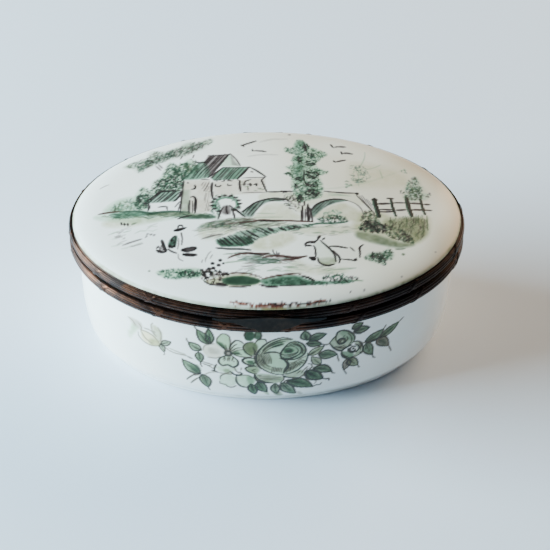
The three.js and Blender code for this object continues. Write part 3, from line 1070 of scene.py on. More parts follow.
# water wheel on its trestle
lid.ring((-15.9, 0.2), 4.3, 4.0, 1.1, "leaf", 0.75, -60, 235)
lid.dabs([(-21, 5), (-11, 5), (-10.5, -4), (-13, 3), (-19, 3), (-20.5, -5)],
    45, 1.8, ["leaf", "fir", "mint"], 80, 50, 0.6, 0.7)
for angle in range(-50, 240, 24):
    x = -16 + 5.4 * math.cos(math.radians(angle))
    y = 0.5 + 5.0 * math.sin(math.radians(angle))
    lid.stroke([(x - 0.5, y - 0.15), (x + 0.5, y + 0.15)], 1.15, "ink", 0.75, 0.3)
lid.wash([(-17, -1), (-14.4, -1), (-14.6, -5.6), (-17.4, -5)], "soot", 0.5, 1.2, 0.5)
for line in (
    [(-17, -1.4), (-18.2, -4.5), (-19, -8.2)],
    [(-13.8, -2.4), (-13.1, -5), (-12.7, -8)],
    [(-14.6, -0.4), (-12, -3.6), (-8.6, -7.4)],
    [(-15.6, -0.6), (-15.9, -3), (-15.3, -5.8)],
    [(-12.2, -2.6), (-10.6, -5), (-9.4, -7)],
):
    lid.stroke(line, 0.75, "ink", 0.8)
lid.dabs([(-19.5, -7), (-18.5, 2), (-21, 3), (-22, -6)], 26, 2.0, ["leaf", "fir"], 88, 22, 0.6, 0.7)

# bridge
lid.stroke([(0, 7.4), (3, 7.4), (6.5, 7.6), (10, 7.7)], 0.8, "ink", 0.75)
lid.dabs([(5, 8.2), (9.6, 8.2), (9.6, 7.2), (5, 7.2)], 10, 1.0, ["ink"], 30, 30, 0.6, 0.6)
lid.stroke([(-9.6, 7), (-5, 7.1), (-0.5, 6.9)], 0.5, "soot", 0.5)
lid.stroke([(22.4, 8.1), (27, 7.6), (30, 7.4), (35, 7.4)], 0.7, "ink", 0.85)
lid.blob((35.3, 7.2), 0.7)
lid.stroke([(35.2, 6), (37.4, 2.4), (39.9, -1.6), (41.6, -4.6)], 0.6, "ink", 0.85)
lid.hatch([(35.6, 6.6), (37, 7), (41, 1), (41.6, -3.6), (40, -1.8)], 118, 0.7, 0.4, "soot", 0.5)
lid.wash([(0, 7), (22, 7.4), (35, 7), (38, 1), (36, 0), (31, 3.4), (25, 3.8), (17, -1), (12, -5), (8, 2.6),
    (3, 4.2), (-3, 2.6)], "hay", 0.25, 1, 0.5)
crescent = [
    (-9.8, -4.6), (-6, -0.6), (-2, 2.3), (3, 3.5), (7, 3), (5.6, 1.7), (1, 1.5), (-2.6, -1.2),
    (-4.6, -4.4), (-6, -7.4), (-9, -6.8),
]
lid.wash(crescent, "fir", 0.5, 0.9, 0.5)
lid.hatch([(-9.5, -4.6), (-4, 1), (0, 2.6), (-1, 0.6), (-4, -3.4), (-6, -7.2), (-8.6, -6.6)],
    58, 0.9, 0.55, "ink", 0.6)
lid.stroke([(-9.8, -4.4), (-7, -1.5), (-4.5, 0.9), (-1, 2.6), (3, 3.5), (6.6, 3), (8.2, 1.8)],
    0.8, "ink", 0.9)
lid.stroke([(1, 1.6), (4, 2.5), (7.4, 2.4)], 1.0, "soot", 0.6)
crescent = [
    (17, -4), (19, 0), (24, 2.7), (31.4, 2.8), (27, 1.2), (23, -1.2), (20, -4.6), (18, -7.4), (17.2, -6),
]
lid.wash(crescent, "fir", 0.55, 0.8, 0.4)
lid.hatch([(17.2, -4), (20, 0.4), (25, 2.8), (27, 1.4), (22, -2), (18.4, -7)], 55, 0.9, 0.45, "ink", 0.45)
lid.stroke([(17, -3.7), (18.5, -0.9), (21, 1.3), (25, 3.1), (29, 3.3), (31.6, 2.6)], 0.85, "ink", 0.9)
lid.stroke([(31.4, 2.7), (34.4, 1), (36.5, -2), (37.4, -6)], 0.45, "soot", 0.65)
for line in (
    [(-4.2, -5.4), (3, -5.6)],
    [(-5, -7.8), (6, -7.6)],
    [(7, 6), (10, 6)],
    [(24, 5.8), (30, 5.8)],
    [(24, 7), (33, 5.4)],
):
    lid.stroke(line, 0.45, "sage", 0.6)
lid.dabs([(6.4, 5), (11, 5.5), (13, 1), (11, -4), (7, -1)], 90, 1.1, ["soot", "moss", "ink"],
    70, 50, 0.65, 0.42)
lid.wash([(-3, -5), (0, -0.5), (6, 0), (11, -5), (12, -9), (-5, -9)], "hay", 0.3, 1.5, 0.6)
lid.wash([(18, -6), (24, -1.4), (30, 1), (36, -4), (36, -9), (19, -8)], "hay", 0.4, 1.5, 0.6)

# great tree before the bridge
tree = [
    (13.8, 44.8), (12, 41), (11, 38), (8, 38.6), (8, 35.5), (11, 33), (10.4, 29), (11, 26), (8, 24),
    (9.6, 21), (7.4, 19.4),
]
tree += [
    (10, 17.4), (9.7, 13), (10, 9), (11, 5), (12.5, 1.2), (15, 1.6), (18, 3), (20.6, 4), (21.8, 7),
    (22, 11), (21.6, 15),
]
tree += [
    (21, 18), (24.6, 20.8), (21, 23.6), (19.6, 26), (20.6, 28), (22.4, 31), (24.6, 34), (20.5, 37.6),
    (17, 39.4), (16, 42.6),
]
lid.wash(tree, "mint", 0.7, 1.6, 0.5, 3)
lid.wash([(12, 40), (13.6, 44), (16.4, 41), (15, 34), (15.4, 26), (15, 16), (12, 14), (11.4, 26), (12, 33)],
    "leaf", 0.4, 2, 0.6, 3)
lid.dabs(tree, 800, 1.2, ["fir", "pine", "moss", "fir"], 78, 55, 0.7, 0.42)
for centre, spread, count in (
    ((16.4, 38.5), (1.5, 3), 32),
    ((18.3, 33.2), (1.8, 1.5), 26),
    ((17.4, 26.6), (2.3, 1.8), 40),
    ((18.2, 19), (2.6, 3), 72),
    ((13, 16), (1.8, 1.6), 30),
    ((17.6, 12.4), (2.6, 2), 50),
    ((17.6, 6.8), (3.2, 3), 90),
    ((13, 3.6), (1.5, 2.8), 40),
    ((11.5, 11), (1.0, 1.5), 16),
    ((13.6, 29.5), (1.2, 3), 26),
    ((8.6, 19.4), (1.2, 1.2), 12),
):
    patch = [(centre[0] + spread[0] * math.cos(a),
        centre[1] + spread[1] * math.sin(a)) for a in (0, 1.05, 2.1, 3.15, 4.2, 5.25)]
    lid.dabs(patch, int(count * 1.3), 1.0, ["pine", "ink", "soot"], 75, 60, 0.85, 0.42)
lid.stroke([(15.6, 41.5), (16.2, 39), (16.4, 36)], 1.0, "ink", 0.6)
lid.stroke([(15.2, 22), (14.9, 17), (15.3, 12.6)], 0.6, "ink", 0.7)
for line, width in (
    ([(13.7, -1), (13.5, -5), (13.6, -9.9)], 0.8),
    ([(13.2, -4), (13, -7), (13, -9.6)], 0.5),
    ([(14.6, -3), (14.5, -9.6)], 0.4),
    ([(15.9, 0), (15.7, -4), (16.1, -9.8)], 1.1),
    ([(16.4, -2), (17, -6), (17.2, -9.9)], 0.8),
    ([(15.2, -5), (15.6, -9.8)], 0.5),
    ([(14.6, 2), (14.5, -1)], 0.6),
):
    lid.stroke(line, width, "ink", 0.8)

# river, banks and reeds
lid.wash([(-26, -11.4), (-20, -9.2), (-12, -7.8), (-6, -8.2), (-6.5, -10), (-14, -12.4), (-21, -12.8)],
    "moss", 0.4, 1.2, 0.7)
lid.wash([(-25, -12), (-10, -12), (2, -10.6), (12, -11.6), (0, -13.6), (-10, -15.5), (-24, -19)],
    "hay", 0.3, 2.4, 0.6)
lid.wash([(-12, -10.8), (-6, -10.6), (4, -11), (2, -12.6), (-6, -13)], "sage", 0.4, 1.2, 0.7)
lid.stroke([(-10.6, -10.9), (-7, -10.1), (-2, -9.3), (3, -9.7), (10, -9.8), (17.4, -10.2)],
    0.95, "umber", 0.95, 0.4)
lid.stroke([(-4, -9.6), (0, -9.9), (5, -10)], 0.8, "ink", 0.8)
for patch, count, size, colours, slant in (
    ([(-25, -11), (-18, -8.8), (-5, -8.6), (-6, -12), (-14, -13), (-24, -13.4)],
        80, 4.0, ["moss", "soot", "fir", "umber"], 12),
    ([(-26, -13), (-12, -12.6), (-14, -16), (-25, -19)], 26, 5.0, ["moss", "smoke", "sage"], 16),
    ([(-6, -10.6), (8, -11), (2, -13.4), (-8, -14)], 34, 4.0, ["sage", "moss", "soot"], 8),
    ([(-15, -26.6), (-6, -26.4), (6, -28), (14, -28.6), (8, -31.4), (-6, -32), (-11, -30)],
        80, 4.4, ["fir", "moss", "umber", "smoke"], 2),
    ([(8, -15), (16, -12.6), (34, -12), (32, -16), (18, -18)], 40, 3.6, ["sage", "smoke", "moss"], 6),
    ([(8, -31), (30, -33), (28, -37), (4, -36)], 22, 5.0, ["sage", "smoke"], 4),
    ([(-14, -33), (-2, -32.6), (-4, -36), (-12, -36)], 12, 4.6, ["sage", "smoke"], 8),
):
    lid.dabs(patch, count, size, colours, slant, 9, 0.6, 0.4, 0.06)
lid.dabs([(-24, -10.5), (-15, -10.5), (-15, -13), (-22, -13)], 16, 1.8, ["moss", "fir"], 80, 20, 0.5, 0.6)
lid.stroke([(-25, -18.7), (-21.5, -17.4), (-17.4, -16.6)], 0.9, "soot", 0.5)
bank = [
    (-20, -19.4), (-15, -17.8), (-11, -15.4), (-7, -14.6), (-3, -13.4), (2, -13.7), (8, -12.2),
    (17, -11.2),
]
bank += [
    (17, -12.6), (10, -14.8), (4, -15.8), (0, -17.8), (-4, -19.8), (-7, -22.6), (-12, -23.4),
    (-18, -22.9),
]
lid.wash(bank, "leaf", 0.4, 0.8, 0.6)
lid.dabs(bank, 90, 1.6, ["fir", "pine", "moss"], -40, 20, 0.7, 0.4)
lid.wash([(-19.4, -20.2), (-12, -18.5), (-7, -18.5), (-6, -22), (-12, -23.2), (-18, -22.8)],
    "pine", 0.55, 0.9, 0.5)
lid.hatch([(-20.2, -19.4), (-15, -17), (-7, -18), (-3.6, -19.6), (-7, -22.4), (-17, -22.6)],
    -50, 0.8, 0.5, "ink", 0.9)
lid.hatch([(-11.4, -15.2), (-7, -14.6), (-3, -17), (-3.6, -19.8), (-8, -18.4)], -38, 1.25, 0.8, "ink", 0.9)
lid.hatch([(-5.6, -14.6), (-3, -13.2), (1.4, -13.7), (3, -16), (-0.4, -17.8)], -36, 1.3, 0.8, "ink", 0.9)
lid.hatch([(2, -13.8), (8, -12.2), (12, -13), (9, -14.8), (4, -15.8)], -34, 1.35, 0.7, "ink", 0.85)
lid.hatch([(8, -11.8), (18, -11), (17, -12.8), (10, -14.4)], -24, 1.1, 0.6, "ink", 0.7)
lid.stroke([(-19.9, -23.8), (-15, -24.4), (-10, -24.7), (-6.6, -25.2)], 0.95, "ink", 0.85)
lid.wash([(-5, -19.5), (1, -17.5), (8, -16), (10, -20), (2, -25), (-6, -24.5)], "hay", 0.4, 2.6, 0.6)
lid.stroke([(16, -12), (20, -11), (25, -10.8), (30.6, -9.8)], 1.2, "fir", 0.75)
lid.dabs([(19, -9.6), (20.4, -7.4), (24, -6.2), (28, -6.4), (30.8, -8), (30.6, -9.8), (24, -10.6)],
    120, 1.0, ["fir", "ink", "pine"], 75, 50, 0.75, 0.45)
lid.dabs([(20, -7), (22, -5), (27, -3), (29, -5), (24, -7)], 22, 1.4, ["leaf", "fir"], 75, 40, 0.5, 0.6)
lid.wash([(8, -15), (16, -13), (26, -12), (34, -12), (30, -16), (18, -17)], "hay", 0.35, 2.6, 0.6)
lid.stroke([(-15.4, -29.1), (-12, -27.4), (-8, -26.7), (-4, -27.1), (0.4, -27)], 1.0, "umber", 0.85)
lid.stroke([(-8, -27), (-3, -27.5), (0, -26.8)], 0.6, "ink", 0.7)
lid.wash([(-9.4, -28.6), (-4, -27.7), (0, -29.4), (4.6, -29.6), (2.4, -31.4), (-4, -31.9), (-9, -30.6)],
    "fir", 0.25, 0.9, 0.7)
lid.stroke([(-2.2, -29.1), (1, -28.3), (6, -28.5), (10, -29.2), (14.6, -28.3)], 1.15, "umber", 0.85)
lid.stroke([(5.4, -30.5), (9, -30), (12.4, -29.3)], 0.85, "umber", 0.85)
lid.stroke([(-4.6, -31.8), (-1, -31.9), (2.6, -31.3)], 0.7, "fir", 0.7)
lid.stroke([(-4, -30.2), (0, -29.8), (4, -30.6)], 0.7, "fir", 0.7)
for line in ([(1.7, -25.2), (2, -26.8), (3.2, -28)], [(3, -26), (3.4, -28)], [(4, -26.6), (4, -28)]):
    lid.stroke(line, 0.45, "ink", 0.6)
for line in (
    [(-0.6, -35.6), (2, -35.1), (4.4, -35.3)],
    [(5.4, -33.6), (11, -34)],
    [(22, -35.2), (33, -33.8)],
    [(-17, -31.4), (-9, -30.4)],
):
    lid.stroke(line, 0.7, "sage", 0.7)
lid.wash([(10, -30), (16, -33), (30, -34), (24, -37), (8, -36)], "hay", 0.3, 2.6, 0.6)

# green mounds along the front
lid.wash([(-20, -38.6), (-14, -37.4), (-9, -37.2), (-3.6, -39.6), (-4, -42.2), (-10, -43.2), (-18, -42.6),
    (-24, -40.6)], "hay", 0.7, 0.9, 0.4)
lid.wash([(-17.6, -39.4), (-13, -38), (-8, -38.2), (-3.4, -40), (-4.6, -42), (-9, -42.5), (-16, -42)],
    "pine", 0.8, 0.9, 0.25)
lid.wash([(-16, -39.6), (-11, -38.6), (-5, -40.2), (-9, -42), (-15, -41.4)], "pine", 0.4, 1.0, 0.4)
lid.wash([(-3.6, -40.4), (2, -38.6), (8, -37.8), (12.4, -38.4), (14.6, -40), (24, -40.6), (31, -39.6),
    (30, -41.4), (20, -42.4), (10, -43.2), (0, -43)], "leaf", 0.7, 0.8, 0.5)
lid.wash([(0, -40.4), (6, -38.8), (11, -39), (14, -41), (22, -41.2), (12, -42.8), (4, -42.4)],
    "pine", 0.6, 0.8, 0.85, 1.8)
lid.dabs([(-3, -40.6), (3, -39.4), (4, -42), (-2, -42.4)], 18, 1.2, ["pine", "leaf"], 50, 60, 0.6, 0.7)
lid.dabs([(12, -39.6), (17, -41), (30, -40), (30, -41.4), (14, -42.8)], 60, 1.4, ["pine", "fir", "soot"],
    15, 35, 0.55, 0.55)
for line, width, colour in (
    ([(-20, -37.4), (-17, -37.3), (-14.6, -36.7), (-12, -36.3), (-8, -36.8), (-4, -38.2), (-3, -38.8)],
        0.8, "umber"),
    ([(-2.8, -39.7), (1, -38.5), (5, -37.6), (9, -37.0), (11, -36.9), (11.9, -37.7)], 0.9, "umber"),
    ([(12.4, -38.3), (14.4, -38.8), (17, -40.3)], 1.1, "ink"),
    ([(-24.4, -40.3), (-22, -41.8), (-18, -42.6), (-15.6, -42.8)], 0.9, "soot"),
    ([(-20, -41.4), (-17.6, -41.8), (-16, -42.5)], 1.0, "ink"),
    ([(-15, -43.1), (-11, -43.4), (-7, -43)], 0.8, "soot"),
    ([(-3.6, -42.5), (-0.6, -43.4), (3.2, -43.5)], 0.95, "ink"),
    ([(4, -43.2), (9, -43.1), (14, -42.5)], 0.7, "soot"),
    ([(30.6, -40.3), (33, -40), (35.4, -40)], 0.7, "sage"),
):
    lid.stroke(line, width, colour, 0.9)
lid.dabs([(19, -39.6), (23, -37.6), (28, -37), (29, -39.8)], 50, 1.3, ["fir", "pine", "ink"],
    95, 30, 0.8, 0.45)
lid.dabs([(29, -38.6), (33, -38.6), (32.6, -40.4), (29, -40.8)], 14, 1.3, ["ink", "fir"], 95, 30, 0.7, 0.6)

# flowering bush at the lower left
bush = [
    (-42.4, -35), (-39, -33.8), (-34, -33.6), (-28, -33.6), (-25, -35), (-26, -38), (-31, -38.6),
    (-38, -38),
]
lid.wash(bush, "mint", 0.8, 1.4, 0.5)
lid.dabs(bush, 130, 1.1, ["leaf", "fir", "pine"], 70, 60, 0.75, 0.5)
lid.dabs([(-35, -35), (-28, -34.6), (-26, -36.6), (-31, -38.2), (-34.6, -37)], 70, 0.9, ["pine", "ink"],
    60, 60, 0.9, 0.5)
lid.dabs([(-26, -35), (-20, -34.6), (-15, -37), (-20, -41), (-25, -39.6)],
    90, 1.0, ["moss", "umber", "ink"], 60, 60, 0.75, 0.45)
for x, y, radius in (
    (-18.4, -30, 0.65), (-19, -32.4, 0.7), (-21.3, -31.5, 0.65), (-21, -33.8, 0.75), (-22.7, -34.1, 0.7),
        (-24.6, -35.6, 0.6),
    (-24.5, -37, 0.8), (-23.6, -38.4, 0.75), (-21.8, -37, 0.7), (-22, -35.7, 0.75), (-18.6, -35.9, 0.7),
        (-20.1, -35.2, 0.5),
    (-25.4, -34.6, 0.6), (-23.6, -35.4, 0.6), (-17.2, -37, 0.8), (-15.6, -37, 0.6), (-19.8, -37, 0.5),
        (-17.2, -31.6, 0.4),
):
    lid.blob((x, y), radius, "ink", 0.9)
for line in (
    [(-23.6, -29), (-23, -27), (-21.8, -25.4)],
    [(-24, -30.6), (-23.8, -28.4)],
    [(-22.2, -29), (-21.2, -27)],
    [(-25, -29.4), (-25.4, -31)],
):
    lid.stroke(line, 0.4, "smoke", 0.7)
lid.blob((-45.2, -34), 0.4, "moss", 0.6)

# traveller resting, with a pack and boots
lid.stroke([(-35.7, -13.9), (-34, -13.6), (-32.4, -12.9), (-31.3, -12.3)], 1.0, "ink", 0.95)
lid.stroke([(-34.5, -12.3), (-34.2, -11.1), (-33.2, -10.9), (-32.5, -11.9)], 0.75, "ink", 0.75)
lid.wash([(-38.2, -21.4), (-37.6, -18.6), (-36, -16.8), (-34.8, -16.6), (-34.9, -19.6), (-35.4, -22.2),
    (-37, -22.7)], "fir", 0.8, 0.6, 0.5)
lid.dabs([(-38, -22), (-37.6, -19.4), (-36, -18), (-35.4, -22.4)], 24, 1.3, ["ink", "fir"], 60, 25, 0.75, 0.6)
lid.dabs([(-38, -22.6), (-38, -21), (-35.6, -21), (-35.6, -22.6)], 14, 1.0, ["ink"], 30, 40, 0.8, 0.6)
for line, width, colour in (
    ([(-35.7, -13.6), (-34, -13.3), (-32.2, -12.6)], 1.5, "ink"),
    ([(-37, -17.8), (-35.6, -16.6), (-35.3, -18.6)], 0.5, "soot"),
    ([(-33.2, -15), (-32.8, -18), (-33, -21.4)], 0.5, "soot"),
    ([(-34.2, -18), (-34.2, -21), (-34.6, -23.6)], 0.4, "smoke"),
    ([(-38.1, -23.4), (-36.8, -24.6), (-35, -25.6)], 0.8, "soot"),
    ([(-34.3, -26), (-34, -28.4), (-32.4, -29.6)], 0.4, "smoke"),
    ([(-40.6, -18.6), (-39.8, -21.4), (-39, -24.4)], 1.3, "ink"),
    ([(-42.4, -23.6), (-41, -24.6), (-39.4, -24.8)], 1.1, "ink"),
    ([(-32.4, -24.2), (-30, -24.0), (-27.9, -23.5)], 2.5, "ink"),
    ([(-29, -22.8), (-27.9, -23.2)], 0.9, "soot"),
    ([(-32.2, -26.4), (-29.6, -26.8), (-27.6, -26.9)], 1.7, "ink"),
):
    lid.stroke(line, width, colour, 0.9, 0.35)
lid.dabs([(-42.4, -22), (-40.6, -21.6), (-39.6, -24.4), (-42, -24.6)], 14, 1.3, ["ink", "soot"],
    60, 30, 0.7, 0.6)

# resting beast
lid.wash([(17.8, -22), (21, -21), (26, -27), (25.6, -31.4), (22, -32.8), (19, -30)], "mint", 0.15, 1.0, 0.5)
lid.wash([(19, -29.6), (25, -29), (25.6, -31.6), (22, -32.8), (20, -32)], "olive", 0.35, 1.2, 0.5)
for line, width in (
    ([(14.2, -23.4), (14.3, -22), (15.6, -21.2), (18.2, -20.8)], 1.0),
    ([(14.3, -23.3), (15.4, -23), (16.6, -23.1)], 0.85),
    ([(16.4, -21.6), (18, -21.4)], 0.7),
    ([(17.4, -23), (17.9, -25), (17.9, -28.6)], 0.7),
    ([(19.0, -19.4), (19.4, -18.6), (20, -17.8)], 1.1),
    ([(18, -20.6), (19.2, -19.8)], 0.6),
    ([(20.8, -19.8), (21.7, -18.8)], 0.7),
    ([(20, -20.2), (21.4, -22), (23.4, -24.4), (25.1, -27.4), (25.5, -30.8)], 0.85),
    ([(18.7, -29), (19, -31), (20.4, -32.3), (22.6, -32.8), (25, -32)], 0.8),
    ([(24.6, -25.3), (26.6, -28), (27.1, -30), (26.6, -31.4)], 0.85),
    ([(23.6, -23.2), (26, -23.1), (30.2, -23.8)], 0.8),
    ([(31.2, -23.4), (32, -24.2), (32.8, -25.3)], 0.6),
    ([(36.3, -21.8), (34.9, -23.4), (34.9, -26), (34.7, -28.4)], 0.75),
    ([(27.6, -29.5), (31, -29.7), (33, -30), (33.4, -28.8)], 0.6),
):
    lid.stroke(line, width, "ink", 0.9)
lid.blob((16.9, -29.6), 1.05, "ink", 0.95)
lid.blob((15.8, -29.2), 0.6, "ink", 0.8)
lid.blob((33, -29.6), 0.6, "ink", 0.7)

# fence
for line, width in (
    ([(41.9, 4.2), (42.1, 1), (42.6, -2), (43.2, -6.2)], 1.9),
    ([(48.4, 4.6), (48.7, 1), (49.2, -2), (49.8, -5.2)], 1.15),
    ([(54.6, 5.8), (54.9, 2), (55.3, -1), (56, -4.6)], 1.9),
    ([(60.1, 5.4), (60.6, 1), (60.9, -1), (61.3, -3.2)], 1.15),
):
    lid.stroke(line, width, "fir", 0.9, 0.25)
    lid.stroke([(x + width * 0.2, y) for x, y in line], width * 0.6, "ink", 0.85, 0.3)
for line, width in (
    ([(47, 5), (48.2, 5.2), (49.4, 5.1)], 0.95),
    ([(41, 3.6), (42, 4.6), (43, 3.8)], 0.9),
    ([(43.4, 1.4), (45.4, 1.7), (47.6, 1.9)], 1.2),
    ([(49.6, 2.5), (51.5, 2.8), (53.6, 2.9)], 0.85),
    ([(56.5, 2.9), (58, 3), (60, 2.9)], 1.2),
    ([(61.6, 2.8), (63.4, 2.9)], 1.1),
    ([(43.6, -3.2), (46, -3.1), (49, -2.7)], 0.95),
    ([(43.6, -1.9), (46, -1.8), (48.4, -1.6)], 0.8),
    ([(50.4, -1.8), (52, -1.6), (53.8, -1.2)], 1.1),
    ([(56.9, -1), (58.6, -0.8), (60.4, -0.7)], 1.1),
    ([(61.5, -0.6), (64, -0.6)], 0.8),
):
    lid.stroke(line, width, "ink", 0.7, 0.3)

# bushes and tall grass under the fence
lid.wash([(36, -4), (42, -3), (50, -6), (58, -5), (63, -5), (62, -14), (57, -20), (50, -22), (36, -19),
    (33, -12)], "hay", 0.6, 2.2, 0.5, 4)
lid.wash([(45, -9), (52, -6), (60, -6), (62, -13), (57, -19), (50, -17)], "olive", 0.4, 2.5, 0.5, 3)
lid.wash([(34.6, -15), (42, -16.6), (50, -19.6), (56, -20.6), (50, -22.6), (40, -20.6), (34, -18)],
    "moss", 0.45, 1.6, 0.6, 3)
lid.dabs([(36, -9), (38, -3), (42, -4), (43, -9), (40, -11)], 100, 1.3, ["fir", "soot", "moss"],
    85, 45, 0.7, 0.45)
lid.dabs([(35.4, -12.6), (37.4, -9), (42, -9), (45.6, -11.6), (45, -15.2), (40, -15), (36, -14.6)],
    260, 1.1, ["pine", "ink", "soot"], 65, 50, 0.85, 0.42)
lid.dabs([(44, -10), (50, -12), (55, -16), (56, -20.4), (51, -18.6), (46, -16.4)],
    190, 1.4, ["moss", "ink", "fir", "moss"], 62, 35, 0.75, 0.42)
lid.dabs([(46, -9), (52, -5.6), (60, -5), (61.6, -12), (58, -17), (52, -14)],
    130, 2.8, ["moss", "soot", "moss"], 84, 7, 0.6, 0.34)
for line in (
    [(62.1, -4), (61.9, -8), (61.8, -12)],
    [(54, -6), (53.8, -11)],
    [(57.6, -5), (57.2, -10)],
    [(58.6, -4), (58.4, -9)],
    [(60.4, -8), (60, -14)],
):
    lid.stroke(line, 0.5, "moss", 0.85)
lid.stroke([(48.6, -23.4), (50.6, -23.3), (52.4, -22.8)], 0.8, "moss", 0.5)
bush = [
    (36.4, -28.6), (38.4, -26), (41, -25.4), (44, -25), (46, -23), (47.8, -25.6), (47, -28.6),
    (44.6, -29.6), (44.4, -32), (41.6, -31), (38, -29.8),
]
lid.wash(bush, "sage", 0.5, 1.2, 0.5)
lid.dabs(bush, 130, 1.1, ["fir", "ink", "moss", "pine"], 75, 55, 0.8, 0.45)
lid.dabs([(39, -26.4), (43, -26), (43.6, -29), (39, -29)], 30, 1.2, ["soot", "pine"], 60, 50, 0.75, 0.6)
lid.blob((51.4, -26), 0.6, "moss", 0.6)

# pale far trees and hill
lid.dabs([(34, 26), (38, 26.5), (40.6, 22), (40.6, 17), (36, 14), (33, 17), (33.6, 22)],
    130, 1.1, ["fir", "moss", "smoke"], 70, 60, 0.55, 0.42)
lid.dabs([(30.6, 14), (32, 16.4), (33.6, 13), (34, 11), (31, 10.6)], 14, 1.2, ["sage", "moss"],
    70, 50, 0.55, 0.7)
for line in (
    [(36.8, 25), (36.5, 19), (36.2, 12)],
    [(40, 36), (39.4, 31), (37, 24)],
    [(45.2, 23.6), (45.6, 21), (46, 18)],
    [(36.6, 24.6), (41, 24), (46, 27.4)],
):
    lid.stroke(line, 0.45, "sage", 0.5)
lid.stroke([(22, 9.4), (30, 11), (38, 14), (46, 18.6), (54, 24)], 1.2, "sage", 0.14)
lid.wash([(34, 27), (44, 27), (54, 22), (56, 14), (44, 12), (34, 12)], "hay", 0.35, 4, 0.5)
lid.dabs([(53.6, 24.6), (55.6, 25.4), (56, 22.6), (54, 22.4)], 9, 1.0, ["moss", "sage"], 60, 50, 0.6, 0.8)
lid.wash([(54, 5), (54.6, 12), (57, 18), (59.6, 20), (61.6, 14), (63.6, 9), (61.6, 5)], "sage", 0.4, 2.0, 0.5)
lid.dabs([(54, 5.6), (54.6, 11), (56.4, 17), (59, 20.6), (60.6, 15), (61.6, 7), (58, 5)],
    170, 1.3, ["moss", "leaf", "fir", "soot"], 80, 45, 0.65, 0.42)
lid.dabs([(56, 8), (57, 13), (60, 11), (60, 7)], 26, 1.6, ["fir", "moss"], 80, 30, 0.65, 0.65)
lid.dabs([(52.4, 8), (53, 11.6), (54, 9)], 8, 1.0, ["soot", "moss"], 70, 40, 0.6, 0.6)
lid.dabs([(62.4, 7.4), (64.4, 10.6), (64, 7.6)], 10, 1.0, ["soot", "moss"], 70, 40, 0.6, 0.6)
lid.dabs([(57.6, 18.6), (58.6, 20.8), (60, 18.4)], 8, 1.4, ["moss", "soot"], 80, 30, 0.5, 0.5)

# wear: chips with rust in them along the front, and stray specks
for line, width, colour, strength in (
    ([(-14.4, -50), (-12.6, -50.1), (-10.6, -50.7), (-8.4, -50.9)], 0.9, "rust", 0.45),
    ([(-5, -51.3), (-2.4, -51.6), (0.4, -51.5)], 1.2, "rust", 0.5),
    ([(0.4, -51.3), (2.4, -51.6), (5.4, -51.1)], 1.3, "rust", 0.85),
    ([(1.2, -51), (3.2, -51.3), (4.6, -51)], 0.6, "ink", 0.6),
    ([(7, -51.4), (7.8, -51), (8.8, -50.3)], 0.55, "ink", 0.75),
    ([(10, -50.4), (11.4, -50.9), (13, -50.6), (15, -50.7)], 0.6, "ink", 0.8),
    ([(15, -50.6), (17, -50.4), (18.2, -49.8), (20, -49.6), (21.6, -49.2)], 0.6, "ink", 0.75),
    ([(16, -50.2), (19, -49.6), (21, -49)], 0.9, "rust", 0.5),
    ([(-3, -52.4), (0, -52.6), (6, -52.5)], 0.8, "cream", 0.9),
    ([(-8, -50.6), (-6.6, -51)], 0.6, "rust", 0.4),
    ([(30.6, -44.8), (30.3, -45.6)], 0.4, "ink", 0.6),
    ([(35.6, -44.4), (35.8, -43.6)], 0.5, "ink", 0.5),
    ([(50.2, -37), (50.3, -36.4)], 0.5, "soot", 0.5),
    ([(64, -23.4), (64.1, -23)], 0.5, "soot", 0.5),
    ([(-65.5, 14.4), (-63.6, 15.8), (-62, 16.6)], 0.5, "smoke", 0.5),
):
    lid.stroke(line, width, colour, strength)
lid.dabs([(-15, -49.6), (-8, -50.2), (0, -50.8), (8, -50.8), (8, -52), (-2, -52.4), (-15, -51)],
    60, 0.9, ["rust", "umber", "rust"], 20, 50, 0.75, 0.55)
lid.dabs([(0, -50.8), (6, -50.6), (14, -50), (22, -48.6), (22, -49.8), (12, -51.4), (0, -52)],
    60, 0.9, ["umber", "ink", "rust"], 15, 40, 0.8, 0.5)
# grime along the lid's edge, where the glaze meets the mount
edge = 1 - smoothstep(lidInset[topSide][lid.order], 1.8, 2.9)
grimeAndShade = edge * (0.25 + 0.75 * lid.mottle(lid.places, 5)) * (0.4 + 0.6 * lid.mottle(lid.places, 1.3))
lid.lay(numpy.arange(len(lid.places)), grimeAndShade * 0.75, inks["olive"])
# painted shade: a warmer, darker tone over the right of the lid, the side turned from the window light
warmShade = smoothstep(lid.places[:, 0] + 0.35 * lid.places[:, 1], -30, 80)
warmShade *= 0.6 + 0.6 * lid.mottle(lid.places, 14)
lid.lay(numpy.arange(len(lid.places)), warmShade * 0.7, seen(222, 217, 206))
lid.keepOn(lidPiece, topSide, (1.0, 1.1, 1.08))
finishPiece(lidPiece, tinGlaze, "lid", "glazed_lid", "lid_panel")
print("lid painted")

# bowl: positions in mm along the wall from its front, and above the table
bowlPoints = getPoints(bowlPiece)
angles, lengths = arcTable(3.9)
alongWall = numpy.interp(bowlAround, angles, lengths)
girth = lengths[-1] - lengths[0]
alongWall = numpy.where(alongWall < -130, alongWall + girth, alongWall)
reachIn = numpy.where(bowlPoints[:, 2] < 9, 9.9, 7.2)
outSide = (bowlInset < reachIn) & (bowlPoints[:, 2] > 2.9) & (bowlPoints[:, 2] < bowl["rim"] - 0.3)
wall = Canvas(numpy.stack([alongWall, bowlPoints[:, 2]], 1)[outSide], 0.40, 11)

